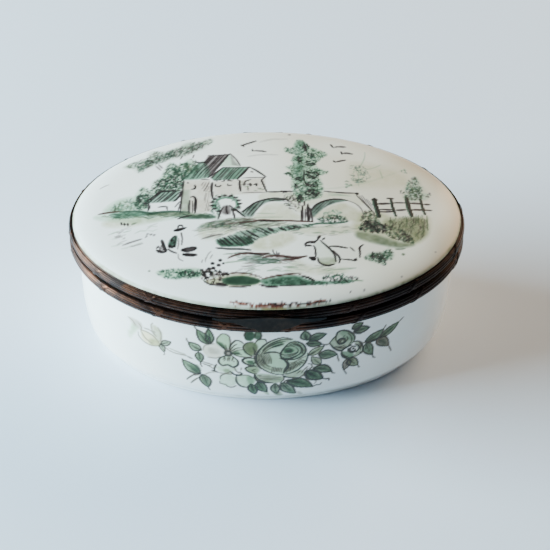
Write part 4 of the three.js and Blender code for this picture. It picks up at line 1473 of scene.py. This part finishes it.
# main sprays of leaves, left of the middle
wall.leaf((-23.2, 35.1), (-27.8, 41.9), 4.2, "pine", 0.85, [(-28.5, 42.9), (-28.4, 44)], 0.7, 2)
wall.leaf((-22.5, 35.6), (-23.2, 43.4), 3.2, "pine", 0.8, [(-23.7, 44.2)], 0.7, 2)
wall.leaf((-26.2, 31.2), (-31.2, 34.2), 4.0, "leaf", 0.9, [(-31.7, 35), (-31.9, 36.3)], 0.65, 2, 0.05)
wall.leaf((-27.2, 30), (-26.6, 24.4), 3.3, "fir", 0.85, [(-26.6, 23.4), (-26.1, 22)], 0.6, 1)
wall.leaf((-27, 17.6), (-33.9, 23.8), 5.2, "leaf", 0.95, [(-34, 24.4)], 0.7, 4, 0.04)
wall.leaf((-26, 17.6), (-24.4, 9.6), 4.6, "fir", 0.9, [(-24, 8.6), (-23.7, 7.6)], 0.7, 3, 0.03)
wall.wash([(-31, 21.5), (-28, 22.5), (-26.8, 19.6), (-29, 17.4)], "pine", 0.4, 1.2, 0.6)
for line, width, colour, strength in (
    ([(-27, 18.2), (-29.6, 16.3), (-31.6, 14.2), (-33, 12.2)], 0.6, "ink", 0.75),
    ([(-27.6, 15.2), (-29.8, 12.8), (-31.4, 10.4)], 0.6, "ink", 0.65),
    ([(-27, 17.4), (-29.4, 15.8)], 0.5, "ink", 0.5),
    ([(-30.2, 25.7), (-33, 26.6), (-36.5, 26.4), (-40, 27.2)], 0.6, "smoke", 0.75),
    ([(-32.6, 27.2), (-36, 27.6), (-39.6, 28.4)], 0.5, "smoke", 0.55),
    ([(-29.8, 25.5), (-31.6, 26.2)], 0.7, "soot", 0.6),
    ([(-26.2, 24.9), (-23.8, 24.6), (-21.2, 23.8)], 0.45, "ink", 0.6),
    ([(-25.8, 24), (-23.4, 23.2), (-21.4, 21.8)], 0.45, "ink", 0.6),
    ([(-24.6, 23.6), (-22.4, 23.4)], 0.45, "soot", 0.5),
    ([(-20.3, 24.6), (-21, 22.6), (-21.2, 20.6)], 0.7, "ink", 0.85),
    ([(-22.3, 20.8), (-21, 20.6), (-19.8, 20)], 0.75, "ink", 0.9),
    ([(-20.8, 19.9), (-23, 19.4), (-25.6, 17.2)], 0.5, "smoke", 0.7),
    ([(-19.8, 20), (-17, 20), (-14.6, 21.4)], 0.5, "soot", 0.6),
):
    wall.stroke(line, width, colour, strength)

# faint bud, far left
wall.wash([(-51, 33), (-47, 33.2), (-43.8, 30.6), (-44, 28), (-48, 27), (-51, 29)], "cream", 0.30, 1.2, 0.3)
wall.wash([(-47, 30.5), (-43.4, 30.4), (-43.8, 27.8), (-47.6, 27)], "olive", 0.42, 1.4, 0.5)
wall.wash([(-45.6, 38), (-42.4, 36), (-42.6, 30.6), (-45.4, 31.8)], "olive", 0.26, 1.4, 0.5)
wall.wash([(-55.4, 34.4), (-52.6, 34), (-54, 31), (-56.4, 28.4)], "mint", 0.55, 1.6, 0.5)
wall.wash([(-57.6, 29.6), (-55.6, 29.4), (-56.6, 26), (-57.8, 26.4)], "mint", 0.35, 1.4, 0.5)
wall.wash([(-56.6, 37.2), (-51.2, 36.8), (-51.6, 33.4), (-54.6, 33.6)], "smoke", 0.24, 1.2, 0.5)
for line in (
    [(-51.4, 33), (-49, 33.3), (-46, 32.4), (-44.4, 30.8), (-43.4, 29.4)],
    [(-51.4, 32.6), (-50, 30), (-48.2, 28.6), (-46.6, 28)],
    [(-52.8, 31.2), (-52.6, 29.4), (-50.6, 27.4), (-47.4, 26.6), (-43.8, 27.8)],
    [(-45.8, 39.1), (-46.6, 38), (-46.3, 35.4), (-45.2, 33.2)],
    [(-43.8, 37.8), (-42.6, 35.6), (-42.4, 32.8), (-43, 30.6)],
    [(-49.8, 34.8), (-47, 34.8), (-44.6, 32.6)],
    [(-57.2, 37), (-55.2, 36.2), (-53.6, 34.4)],
    [(-52.2, 36), (-51, 34.6), (-51.5, 33)],
    [(-43.4, 29.2), (-41.6, 28.4), (-39.8, 27.4)],
):
    wall.stroke(line, 0.6, "smoke", 0.75, 0.5)
wall.leaf((-42.6, 29.2), (-38.4, 32.2), 2.7, "fir", 0.5, None, 0.5, 1)
wall.leaf((-42.8, 29.4), (-41.6, 25.2), 2.4, "fir", 0.45, [(-41.4, 24.4), (-41.8, 23.6)], 0.45, 1)

# open five-petalled flower
wall.wash([(-20, 35.8), (-19.6, 39), (-17.8, 41.6), (-15.6, 40.6), (-14.9, 37), (-15.6, 34.2)],
    "mint", 1.0, 0.9, 0.2)
wall.wash([(-20, 37), (-18, 36.6), (-16.2, 33.6), (-18, 34.2)], "fir", 0.85, 1.0, 0.4)
wall.wash([(-25.4, 31), (-24.4, 34.6), (-20.4, 36), (-16.8, 32.4), (-19, 28.8), (-23, 27.8)],
    "stone", 0.3, 1.2, 0.5)
wall.wash([(-23, 33.2), (-19.4, 33), (-19, 31), (-22.6, 30.6)], "smoke", 0.25, 1.4, 0.6)
wall.wash([(-14.6, 35.6), (-13, 38.2), (-10.2, 38), (-9.6, 36), (-11, 34.6), (-14, 33.4)],
    "mint", 0.45, 0.9, 0.4)
wall.wash([(-14.6, 32), (-12, 34), (-8, 34), (-6, 32), (-8.4, 30.2), (-12, 30.4)], "mint", 0.75, 0.9, 0.3)
wall.wash([(-14.4, 31.8), (-12, 33), (-11, 31.6), (-13, 30.8)], "fir", 0.6, 0.8, 0.4)
wall.wash([(-17, 30), (-19.2, 28), (-18.8, 25), (-12.6, 24.8), (-12, 27.6), (-14.6, 30)],
    "mint", 0.6, 0.8, 0.3)
wall.hatch([(-17.6, 29.8), (-18.6, 27), (-13, 26.6), (-14, 29.8)], 78, 0.9, 0.5, "ink", 0.55)
for line, width, strength in (
    ([(-19.9, 36), (-19.9, 38.6), (-18.2, 41.4)], 0.5, 0.5),
    ([(-18.4, 41.3), (-17, 41.7), (-15.2, 40.4), (-14.8, 37), (-15.2, 34)], 0.55, 0.65),
    ([(-19.6, 36.6), (-18, 34.6), (-16.4, 32.8)], 0.5, 0.5),
    ([(-17.6, 35), (-16.6, 32.6)], 0.6, 0.7),
    ([(-16.6, 36), (-16, 33)], 0.45, 0.5),
    ([(-15, 33.2), (-14.6, 36), (-12.8, 38.6), (-10.8, 38.4), (-9.8, 37.4)], 0.65, 0.8),
    ([(-14.9, 33), (-13.4, 35.8), (-12.2, 36.8)], 0.5, 0.6),
    ([(-14.6, 32.6), (-12.4, 34.6), (-10.6, 35)], 0.5, 0.6),
    ([(-14.2, 32), (-12, 33.6), (-9.4, 34.2)], 0.45, 0.5),
    ([(-14.4, 31.6), (-12, 30.4), (-9, 30), (-7, 30.4)], 0.5, 0.6),
    ([(-14.4, 31.4), (-12, 31.8), (-10.4, 31.2)], 0.5, 0.6),
    ([(-16.6, 30), (-18.8, 28.4), (-19.4, 26), (-18, 24.4), (-15.8, 25), (-13.8, 24), (-12, 25.4),
        (-12, 27.8), (-14, 30.2)], 0.8, 0.95),
    ([(-25.4, 31.4), (-24.6, 34.2), (-21, 35.8)], 0.5, 0.3),
    ([(-23.6, 28), (-20.6, 28), (-19, 29)], 0.5, 0.3),
):
    wall.stroke(line, width, "ink", strength)
wall.ring((-15.6, 31.4), 1.15, 1.25, 1.0, "ink", 0.85)
wall.wash([(-17.4, 31), (-16.4, 34), (-14.4, 33.4), (-14.2, 30.4), (-16, 29.6)], "soot", 0.4, 0.8, 0.4)
wall.wash([(-20, 23.6), (-16, 24), (-12, 23.4), (-14, 21.6), (-19, 20.6)], "mint", 0.42, 1.2, 0.5)
wall.wash([(-17.6, 22), (-15.6, 22.6), (-14.4, 20.4), (-17, 20.4)], "sage", 0.7, 0.9, 0.5)
wall.stroke([(-13.4, 24), (-12.6, 22), (-11.4, 20.6)], 0.5, "soot", 0.6)
wall.stroke([(-10.6, 24), (-10.8, 22.6)], 0.5, "soot", 0.5)

# smaller flower under it
wall.wash([(-19.4, 16), (-18.4, 19.2), (-15.6, 19.8), (-13, 18), (-13, 14), (-16, 12.2), (-18.8, 13.4)],
    "mint", 0.42, 0.8, 0.5)
wall.wash([(-12.4, 18), (-12, 14.6), (-9.6, 12.6), (-6.4, 14.6), (-5, 17.4), (-6.8, 19.6), (-10, 19.8)],
    "mint", 0.6, 0.8, 0.5)
wall.wash([(-8.4, 19), (-6.4, 19), (-5.6, 15.4), (-7.6, 14.2)], "leaf", 0.45, 1.2, 0.4)
for line, width, strength in (
    ([(-19.2, 15), (-19.3, 13.6), (-17.6, 13.2), (-16.8, 13)], 0.5, 0.5),
    ([(-16.8, 12.8), (-16, 11.8), (-14.2, 11.8), (-12.8, 13)], 0.55, 0.65),
    ([(-19, 16), (-18.8, 18), (-17, 19.6), (-14.4, 19.8)], 0.5, 0.55),
    ([(-12.6, 19), (-12.6, 15.6), (-11, 12.9), (-8.8, 12.4), (-7.4, 12.8)], 0.75, 0.9),
    ([(-14.2, 21.2), (-13.4, 19.8), (-11.4, 19.6), (-10.6, 20.8)], 0.7, 0.95),
    ([(-12.9, 19.6), (-11.4, 19.3)], 0.9, 0.95),
    ([(-11.4, 21.6), (-10.4, 20.6), (-10.8, 19.4)], 0.6, 0.8),
    ([(-15, 21.6), (-14, 20)], 0.5, 0.6),
    ([(-10.4, 19.6), (-8, 19.8), (-5.8, 18)], 0.5, 0.5),
    ([(-5.6, 20.8), (-5.2, 18), (-3.4, 16.2), (-1, 15.4), (0.8, 15.4)], 0.65, 0.85),
    ([(-5.6, 19), (-4.6, 16.6), (-3.8, 15.6)], 0.7, 0.8),
):
    wall.stroke(line, width, "ink", strength)

# round leaves and olive bud above
wall.wash([(-9.3, 41), (-8.6, 43.6), (-6.4, 43.8), (-5.4, 41.4), (-7, 39), (-8.9, 39.4)],
    "pine", 0.9, 0.7, 0.3)
wall.wash([(-5.8, 40.8), (-5, 44.2), (-3.3, 43.6), (-3.2, 40.4), (-4.2, 39.8)], "fir", 0.9, 0.6, 0.4)
wall.stroke([(-6.4, 44.6), (-8.6, 43.8), (-9.4, 41.6), (-8.6, 39.6)], 0.6, "ink", 0.8)
wall.stroke([(-4.8, 44.4), (-3.2, 43.2), (-3.0, 41), (-3.8, 39.6)], 0.6, "ink", 0.85)
wall.stroke([(-5.6, 41), (-4.9, 43.6)], 0.5, "ink", 0.6)
wall.wash([(-9.6, 35.6), (-8.4, 37.8), (-5.6, 38), (-4.2, 36), (-5.2, 32.4), (-6.8, 31), (-8.8, 32.8)],
    "moss", 0.75, 0.8, 0.35)
wall.wash([(-8, 35), (-6, 35.4), (-5.6, 32.8), (-7.2, 31.8)], "olive", 0.5, 0.9, 0.5)
wall.stroke([(-6, 38.4), (-8.4, 37.8), (-9.8, 35.6), (-9, 32.8), (-6.8, 30.9), (-5, 30.6)], 0.6, "ink", 0.85)
wall.stroke([(-6.2, 35.6), (-5.4, 33.4), (-5.6, 31.4)], 0.6, "ink", 0.6)
wall.wash([(-5, 38.2), (-3.6, 39.9), (-1.2, 39.4), (-2, 36.6), (-4.4, 34.6)], "mint", 0.5, 0.8, 0.4)
wall.stroke([(-5.2, 37.8), (-4.4, 39.4), (-2.4, 40), (-1.3, 39.6), (-1, 38.4)], 0.65, "ink", 0.8)

# curled leaves at the left of the rose
wall.wash([(-9.8, 28.2), (-8, 29.4), (-4.6, 29.4), (-4.2, 26), (-7.6, 25.6)], "mint", 0.6, 0.8, 0.5)
wall.wash([(-8.6, 27.8), (-6.2, 28.2), (-5.4, 26.4), (-7, 26)], "fir", 0.8, 0.8, 0.4)
wall.wash([(-8.6, 24), (-5.4, 25.8), (-3.4, 23), (-5, 21), (-7.6, 21.6)], "sage", 0.8, 1.0, 0.5)
wall.stroke([(-4.8, 29.6), (-7.4, 29.8), (-9.4, 29.2), (-10.2, 28), (-9, 26.4), (-7, 25.6), (-5, 25.2)],
    0.85, "ink", 0.9)
wall.stroke([(-5, 25.2), (-7.8, 24.8), (-9, 23.8), (-8.2, 22.2), (-6, 21), (-4.6, 21)], 0.65, "ink", 0.85)
wall.stroke([(-4.6, 27.8), (-6, 26.2), (-4.4, 24.6)], 0.5, "ink", 0.5)
wall.stroke([(-5, 23.6), (-6.4, 22.8), (-5.2, 22)], 0.5, "ink", 0.45)

# great rose
rose = [
    (8.6, 39.7), (5, 40.5), (1, 39), (-2.8, 35.6), (-4.8, 31), (-4.2, 26.4), (-1.2, 22.8), (3, 20.5),
    (7, 20.6), (11, 22.6), (14, 26),
]
rose += [(14.8, 30), (14, 34.5), (11.6, 37.8)]
wall.wash(rose, "mint", 0.5, 0.9, 0.4, 3)
wall.wash([(-4, 33), (-1, 37), (4, 39.6), (7.6, 38.6), (3, 36.4), (-1, 32.8), (-1, 28), (1.6, 23.6),
    (5, 21.6), (-1, 23.4), (-4, 27.4)], "sage", 0.45, 1.2, 0.5)
wall.wash([(0, 31.6), (4, 31.8), (5, 28.6), (7, 26), (4.6, 23.4), (0.6, 25.6)], "mint", 0.5, 1.2, 0.4)
wall.wash([(0.6, 37.8), (4, 38.8), (5.6, 36.8), (1.6, 35.6)], "leaf", 0.6, 0.9, 0.5)
wall.wash([(5, 21.4), (9, 22.4), (13.6, 26.6), (10, 27), (6.8, 25.6)], "sage", 0.4, 1.2, 0.5)
bud = [
    (6.6, 36.4), (8.2, 37.9), (11.4, 37.4), (13.8, 34.8), (13.8, 31.6), (11.6, 29.2), (8, 28.3),
    (5, 29.4), (4.2, 31.8), (5.4, 34.6),
]
wall.wash(bud, "leaf", 0.36, 0.7, 0.5)
wall.wash([(5.8, 34.4), (7.6, 35.2), (9.6, 33.6), (8.4, 32.2), (6, 32.4)], "pine", 0.7, 0.7, 0.3)
wall.wash([(6.6, 33.8), (8.6, 34.2), (8.6, 32.8), (6.8, 32.8)], "ink", 0.6, 0.7, 0.3)
for line, width, strength in (
    ([(8.8, 39.5), (7, 40.3), (4.4, 40.5), (1, 39.1), (-1.6, 37), (-3.6, 34.2), (-4.9, 31), (-4.9, 28),
        (-3.6, 25), (-1, 22.6), (2, 20.9), (5.6, 20.2)], 0.65, 0.95),
    ([(5.4, 20.3), (8.6, 21), (11.6, 22.8), (13.8, 25.6), (14.8, 28.4), (14.9, 31.4)], 0.6, 0.9),
    ([(8.4, 39.2), (5.6, 39.7), (2.4, 38.6), (-0.4, 36.6), (-2.4, 34)], 0.6, 0.8),
    ([(6, 38.6), (3.4, 38), (0.8, 36.6), (-1.6, 34.4), (-3.4, 31.4)], 0.55, 0.75),
    ([(4.6, 36.9), (2.4, 36.2), (0, 34.8), (-2, 32.8)], 0.5, 0.6),
    ([(5.6, 37.4), (3.6, 36.6), (1.2, 35.6)], 0.8, 0.6),
    ([(-2.2, 32.2), (0, 33), (2.4, 33), (4.4, 32.2)], 0.8, 0.8),
    ([(6.6, 36.4), (8.2, 37.9), (10.6, 38), (12.8, 36.6), (14, 34.2), (13.9, 31.8), (12.4, 29.8),
        (10, 28.6), (7.4, 28.4)], 0.7, 0.95),
    ([(7.4, 28.4), (5.6, 29.2), (4.4, 31.2), (5, 33.6), (6.6, 36.4)], 0.7, 0.95),
    ([(4.4, 32), (6.4, 31.2), (9, 31.6), (11, 32.4)], 0.6, 0.7),
    ([(5, 29.9), (7, 29.3), (9.6, 30), (11.8, 31.4), (12.4, 33.4), (11.8, 35.2), (10, 36.4)], 0.5, 0.85),
    ([(5.2, 29.2), (7.2, 28.9), (9, 29.4), (10.8, 30.4)], 0.7, 0.9),
    ([(5.8, 30.3), (8, 30.4), (10.4, 31.6), (11.2, 33.4), (10.2, 35.2)], 0.42, 0.8),
    ([(9.4, 36.6), (11.6, 35.6), (13, 33.6), (12.8, 31.4)], 0.55, 0.8),
    ([(7.8, 36.9), (10.2, 37), (12.2, 35.8)], 0.55, 0.8),
    ([(6.4, 35.6), (8.2, 36.2), (9.8, 35.4)], 0.6, 0.7),
    ([(4.2, 29.6), (6, 28.4), (7.2, 26.2), (7, 24), (5.8, 21.4)], 0.75, 0.9),
    ([(7.2, 27.8), (7.6, 25.8), (6.8, 23)], 0.6, 0.8),
    ([(7.2, 26.8), (9.6, 27), (12, 28.6), (14.6, 30)], 0.4, 0.4),
):
    wall.stroke(line, width, "ink", strength)
for number in range(8):
    # close curved lines that model the outer petals at the left
    radius = 5.4 + 0.6 * number
    first, last = 168 - 4.2 * number + 14 * (number % 2), 255 - 2.2 * number - 16 * (number % 3)
    centreX, centreZ = 3.4 + 0.08 * number, 29.6 + 0.07 * number
    turnPoints = numpy.radians(numpy.linspace(first, last, 9))
    line = numpy.stack([centreX + radius * numpy.cos(turnPoints),
        centreZ + radius * numpy.sin(turnPoints) * 0.98], 1)
    wall.stroke(line, 0.3, "ink", 0.7, 0.8)
for number in range(7):
    shift = 0.55 * number
    wall.stroke([(-3.6 + shift, 31.6 + 0.2 * number), (-2.4 + shift, 29.4), (-1.9 + shift * 0.9, 26.6)],
        0.4, "ink", 0.45)
for number in range(9):
    # petal at the lower right, modelled with rays
    share = number / 8
    start = (5.6 + 8.4 * share, 20.9 + 5.8 * share**1.4)
    end = (7.4 + 4.6 * share, 25.6 + 2.6 * share)
    middle = ((start[0] + end[0]) / 2 - 0.3, (start[1] + end[1]) / 2 + 0.4)
    wall.stroke([start, middle, end], 0.36, "ink", 0.8 - 0.3 * share, 0.75)
    wall.stroke([(start[0] + 0.5, start[1] + 0.3), (middle[0] + 0.5, middle[1])], 0.3, "ink", 0.65, 0.7)
for number in range(8):
    x = 1.2 + 0.55 * number
    wall.stroke([(x - 0.2, 21.8 + 0.02 * number), (x, 23.4), (x + 0.2, 24.8 - 0.1 * number)],
        0.35, "ink", 0.55)

# sepals and curled petals under the rose
wall.wash([(-5, 20.4), (-1, 20.8), (3, 19.8), (5.6, 19), (5, 16), (1, 15.4), (-3, 16.6)],
    "sage", 0.6, 0.9, 0.4)
wall.hatch([(-4.4, 20), (5, 19.4), (4.8, 17), (-2.6, 17)], 2, 0.7, 0.45, "soot", 0.55)
wall.wash([(6.4, 19.4), (9, 21.6), (12.8, 22.4), (13.6, 19.6), (10, 18)], "sage", 0.55, 0.9, 0.5)
for line, width, strength in (
    ([(-5.4, 20.7), (-4.6, 18.4), (-2.4, 16.4), (0.6, 15.5), (1.6, 15.4)], 0.7, 0.9),
    ([(5.8, 19.4), (6, 17.4), (5, 15.8), (4.6, 15)], 0.5, 0.7),
    ([(5.9, 19), (8.4, 18.2), (11, 17.9), (12.4, 18)], 0.65, 0.8),
    ([(5.6, 19.6), (7, 18.6)], 0.8, 0.85),
    ([(12.4, 18.4), (13.6, 19.4), (14.2, 21), (15, 22.6)], 0.55, 0.6),
    ([(13, 18.2), (15, 19.8), (15.8, 21.6)], 0.5, 0.5),
    ([(15.2, 25.4), (16.4, 25), (16.8, 23.4), (15.8, 22)], 0.5, 0.6),
    ([(12.8, 20.4), (13.8, 22.4), (15.2, 24)], 0.45, 0.5),
    ([(11, 20.4), (12.4, 21.8)], 0.45, 0.5),
    ([(6, 15.6), (7.4, 16.8), (10.6, 16.4)], 0.7, 0.8),
):
    wall.stroke(line, width, "ink", strength)

# leaves below
wall.leaf((-6.9, 14.6), (-5.4, 7.4), 3.8, "pine", 0.95, None, 0.65, 2)
wall.leaf((-4.2, 16), (-0.6, 9.4), 4.4, "pine", 0.95, None, 0.65, 3, -0.06)
wall.leaf((2.6, 15), (3.4, 7.8), 3.6, "fir", 0.7, None, 0.6, 4, -0.04)
wall.leaf((5.2, 15.2), (11, 7.6), 4.8, "fir", 0.75, None, 0.7, 5, -0.05)
wall.leaf((7.2, 16.2), (17.8, 11.2), 5.4, "pine", 0.95, [(19.4, 12), (20.6, 11.8), (21.2, 13)], 0.7, 4, 0.06)
wall.wash([(2.4, 9), (4.4, 9.4), (5.6, 6), (3.8, 5.6)], "moss", 0.5, 1.4, 0.5)
wall.wash([(7.6, 11), (9.8, 10.6), (11, 6.4), (8.8, 7.4)], "leaf", 0.5, 1.4, 0.5)
wall.wash([(11.4, 8), (12.6, 8.6), (14, 5.8), (13.2, 5)], "smoke", 0.35, 1.2, 0.5)
wall.wash([(-2, 10), (-0.4, 9.6), (0.2, 7), (-0.8, 7.6)], "sage", 0.5, 1.0, 0.5)
wall.stroke([(18.2, 12.8), (19, 14.2), (18.4, 15)], 0.45, "smoke", 0.6)

# leaves at the right of the rose
wall.leaf((14.6, 21.4), (21.7, 15.4), 5.4, "pine", 1.0, [(23, 14.9), (24, 14.8), (24.2, 13.6)], 0.9, 4, -0.05)
wall.leaf((17.4, 22.4), (25, 18.9), 4.4, "fir", 0.9, [(25.3, 18), (26.4, 17.5)], 0.7, 2, 0.10)
wall.leaf((20.2, 24.2), (16.4, 29), 3.6, "moss", 0.62, None, 0.4, 1)
wall.leaf((19.2, 29.8), (26.7, 28.2), 4.8, "fir", 0.95, [(27, 26.4), (27.6, 24.2)], 0.6, 3, 0.02)
wall.leaf((15.3, 30), (21.2, 34.2), 3.4, "sage", 0.9, None, 0.45, 2)
wall.leaf((14.2, 36.6), (20.4, 35.2), 3.2, "fir", 0.95, [(22, 34.6), (23.4, 34.8)], 0.65, 2, 0.03)
wall.leaf((15.4, 38.2), (22, 40.4), 3.8, "fir", 0.95, None, 0.6, 3, 0.05)
wall.leaf((14.4, 38.4), (13.6, 43.4), 3.9, "fir", 0.85, None, 0.6, 2, 0.04)
wall.wash([(13.6, 38.8), (17, 38.6), (19, 38.4), (16, 37.6)], "pine", 0.7, 0.8, 0.4)
wall.stroke([(15.2, 22.6), (16.6, 23), (19.6, 23.4), (22.6, 22.6)], 0.45, "soot", 0.5)
wall.stroke([(14.8, 31.6), (15.6, 30), (18, 30)], 0.4, "rust", 0.35)

# two small roses
wall.wash([(23.6, 35.4), (25.4, 38), (27, 40.4), (30, 40.2), (32.6, 38), (33.6, 35), (32, 32), (28.6, 30.2),
    (25.8, 31.8)], "sage", 0.45, 0.7, 0.4)
wall.wash([(26.8, 40), (30, 40), (33, 37.4), (33, 34), (30, 35.6), (28.6, 37.4)], "leaf", 0.35, 1.0, 0.4)
wall.wash([(25, 32.6), (27, 30.8), (29.6, 30.8), (27.6, 33)], "smoke", 0.35, 0.8, 0.4)
wall.wash([(28.4, 29), (29, 25.8), (31.6, 24.8), (33.8, 25.8), (31.6, 28.2)], "leaf", 0.6, 0.8, 0.4)
wall.wash([(33.6, 33.2), (36.2, 32), (37.4, 29.4), (36.8, 26.2), (34, 25.2), (35, 29)], "sage", 0.5, 0.8, 0.4)
for line, width, strength in (
    ([(23.4, 35.4), (25, 37.6), (25.9, 38.4), (26.3, 40), (28, 40.7), (30.4, 39.9), (32.4, 38),
        (33.5, 35.8), (33.3, 33.6)], 0.75, 0.9),
    ([(23.4, 35.2), (24.2, 33.6), (25.2, 32), (26.4, 30.8), (28.2, 29.9), (30.2, 31), (32.2, 32.2)],
        0.8, 0.95),
    ([(26, 38.2), (25.8, 36.6), (26.6, 34.6), (27.4, 33.6)], 0.5, 0.7),
    ([(30.6, 38.6), (32, 36.4), (32.2, 34), (31, 32)], 0.45, 0.6),
    ([(29.6, 34), (30.6, 35.4), (30.2, 37)], 0.5, 0.6),
    ([(25.6, 32.8), (27.4, 32), (29.6, 32.6)], 0.5, 0.6),
    ([(26.8, 32.2), (28.4, 31.2), (30, 32)], 0.5, 0.6),
    ([(28.8, 37.2), (29.4, 37.6)], 0.5, 0.6),
    ([(28.4, 29.4), (28.6, 27.2), (30, 25.4), (32, 24.6), (34, 25.2)], 0.85, 0.95),
    ([(28.6, 29.4), (29.2, 30.6), (31, 31.4), (32.4, 31.4)], 0.6, 0.8),
    ([(32.4, 33), (34, 33.3), (36, 32.2), (37, 30), (37.4, 27.4), (36.2, 25.6), (34.4, 24.8)], 0.65, 0.8),
    ([(33.8, 31.8), (35.2, 30.6), (35.6, 28.8), (34.4, 27)], 0.7, 0.85),
    ([(35.4, 32), (36.4, 30), (36.2, 27.6)], 0.45, 0.6),
    ([(31, 30.2), (31.4, 28.8), (33, 27.6), (34.4, 27.8)], 1.1, 0.9),
    ([(36, 26.6), (37, 25.6)], 0.6, 0.6),
    ([(29.2, 27.6), (30, 26.2), (31.2, 25.8)], 0.5, 0.6),
):
    wall.stroke(line, width, "ink", strength)
wall.ring((28.2, 35), 1.5, 1.45, 0.8, "ink", 0.95)
wall.ring((28.4, 34.9), 0.7, 0.75, 0.4, "ink", 0.8)
wall.ring((33, 29.4), 1.3, 1.35, 0.7, "ink", 0.95, 40, 330)
wall.blob((33.1, 29.4), 0.5, "ink", 0.9)
wall.leaf((33, 38.6), (39.6, 38.6), 3.7, "fir", 0.9, None, 0.7, 4, 0.03)
wall.leaf((32.2, 40.2), (36.6, 42.2), 3.4, "fir", 0.85, None, 0.6, 3)
wall.leaf((31, 24.6), (30, 18.3), 3.4, "soot", 0.6, [(30.6, 17), (31.4, 15.4)], 0.55, 2, 0.05)
wall.leaf((31.8, 24.6), (35.8, 19.2), 4.0, "moss", 0.75, [(36.2, 18.2), (36.7, 17.6)], 0.6, 3, -0.06)

# sprig at the right
wall.stroke([(36.8, 31.4), (39, 31), (42.4, 31.2), (45.4, 31.6)], 0.6, "soot", 0.8)
wall.leaf((38, 31.6), (46, 35.4), 4.3, "pine", 0.75, [(46.8, 37)], 0.6, 3, -0.08)
wall.leaf((44.4, 31), (53, 35.8), 3.6, "pine", 0.72, [(54, 36.4), (55, 37)], 0.6, 3)
wall.leaf((38.6, 30.8), (41.7, 22.9), 4.2, "pine", 0.7, [(42.2, 21.4), (43.2, 20.5)], 0.55, 3, -0.06)
wall.leaf((42.8, 31), (48.8, 24.7), 4.4, "soot", 0.66, [(49.6, 23), (50.4, 21)], 0.6, 3, 0.05)
wall.wash([(44, 29.6), (46.4, 29.6), (48, 26), (45.6, 26)], "fir", 0.5, 1.2, 0.5)

# a small sprig at the back
backMiddle = girth / 2
wall.stroke([(backMiddle - 11, 22), (backMiddle - 4, 25.5), (backMiddle + 4, 25), (backMiddle + 11, 28)],
    0.8, "soot", 0.8)
for x, z, dx, dz, breadth in (
    (-9, 23, -6, 5, 4.4),
    (-6, 24.6, -2.6, -7, 4.2),
    (-2, 25.6, 0.6, 7.4, 4.4),
    (2, 25.2, 4, -7, 4.2),
    (6, 26, 3, 6.6, 4.2),
    (10, 27.6, 7, -3.4, 4.4),
):
    wall.leaf((backMiddle + x, z), (backMiddle + x + dx, z + dz), breadth, "fir", 0.9, None, 0.8, 3)

# painted shadow with grime under the mount, where it meets the glaze, and wear at the foot
grimeAndShade = smoothstep(wall.places[:, 1], 44.6, 46.6) * (0.3 + 0.7 * wall.mottle(wall.places, 6))
wall.lay(numpy.arange(len(wall.places)), grimeAndShade * 0.6, inks["olive"])
wear = (1 - smoothstep(wall.places[:, 1], 2.9, 4.6)) * wall.mottle(wall.places, 3)
wall.lay(numpy.arange(len(wall.places)), wear * 0.5, inks["stone"])
wall.keepOn(bowlPiece, outSide, (0.80, 0.91, 1.1))
finishPiece(bowlPiece, tinGlaze, "base", "glazed_bowl", "base_bowl")
print("bowl painted")

# small parts kept from the model
for node in (
    "base_knuckle_left",
    "base_knuckle_middle",
    "base_knuckle_right",
    "lid_knuckle_left",
    "lid_knuckle_right",
    "hinge_pin",
):
    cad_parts[node].data.materials.clear()
    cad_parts[node].data.materials.append(hingePatina)
for node in ("base_cement", "lid_cement"):
    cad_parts[node].data.materials.clear()
    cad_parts[node].data.materials.append(plaster)
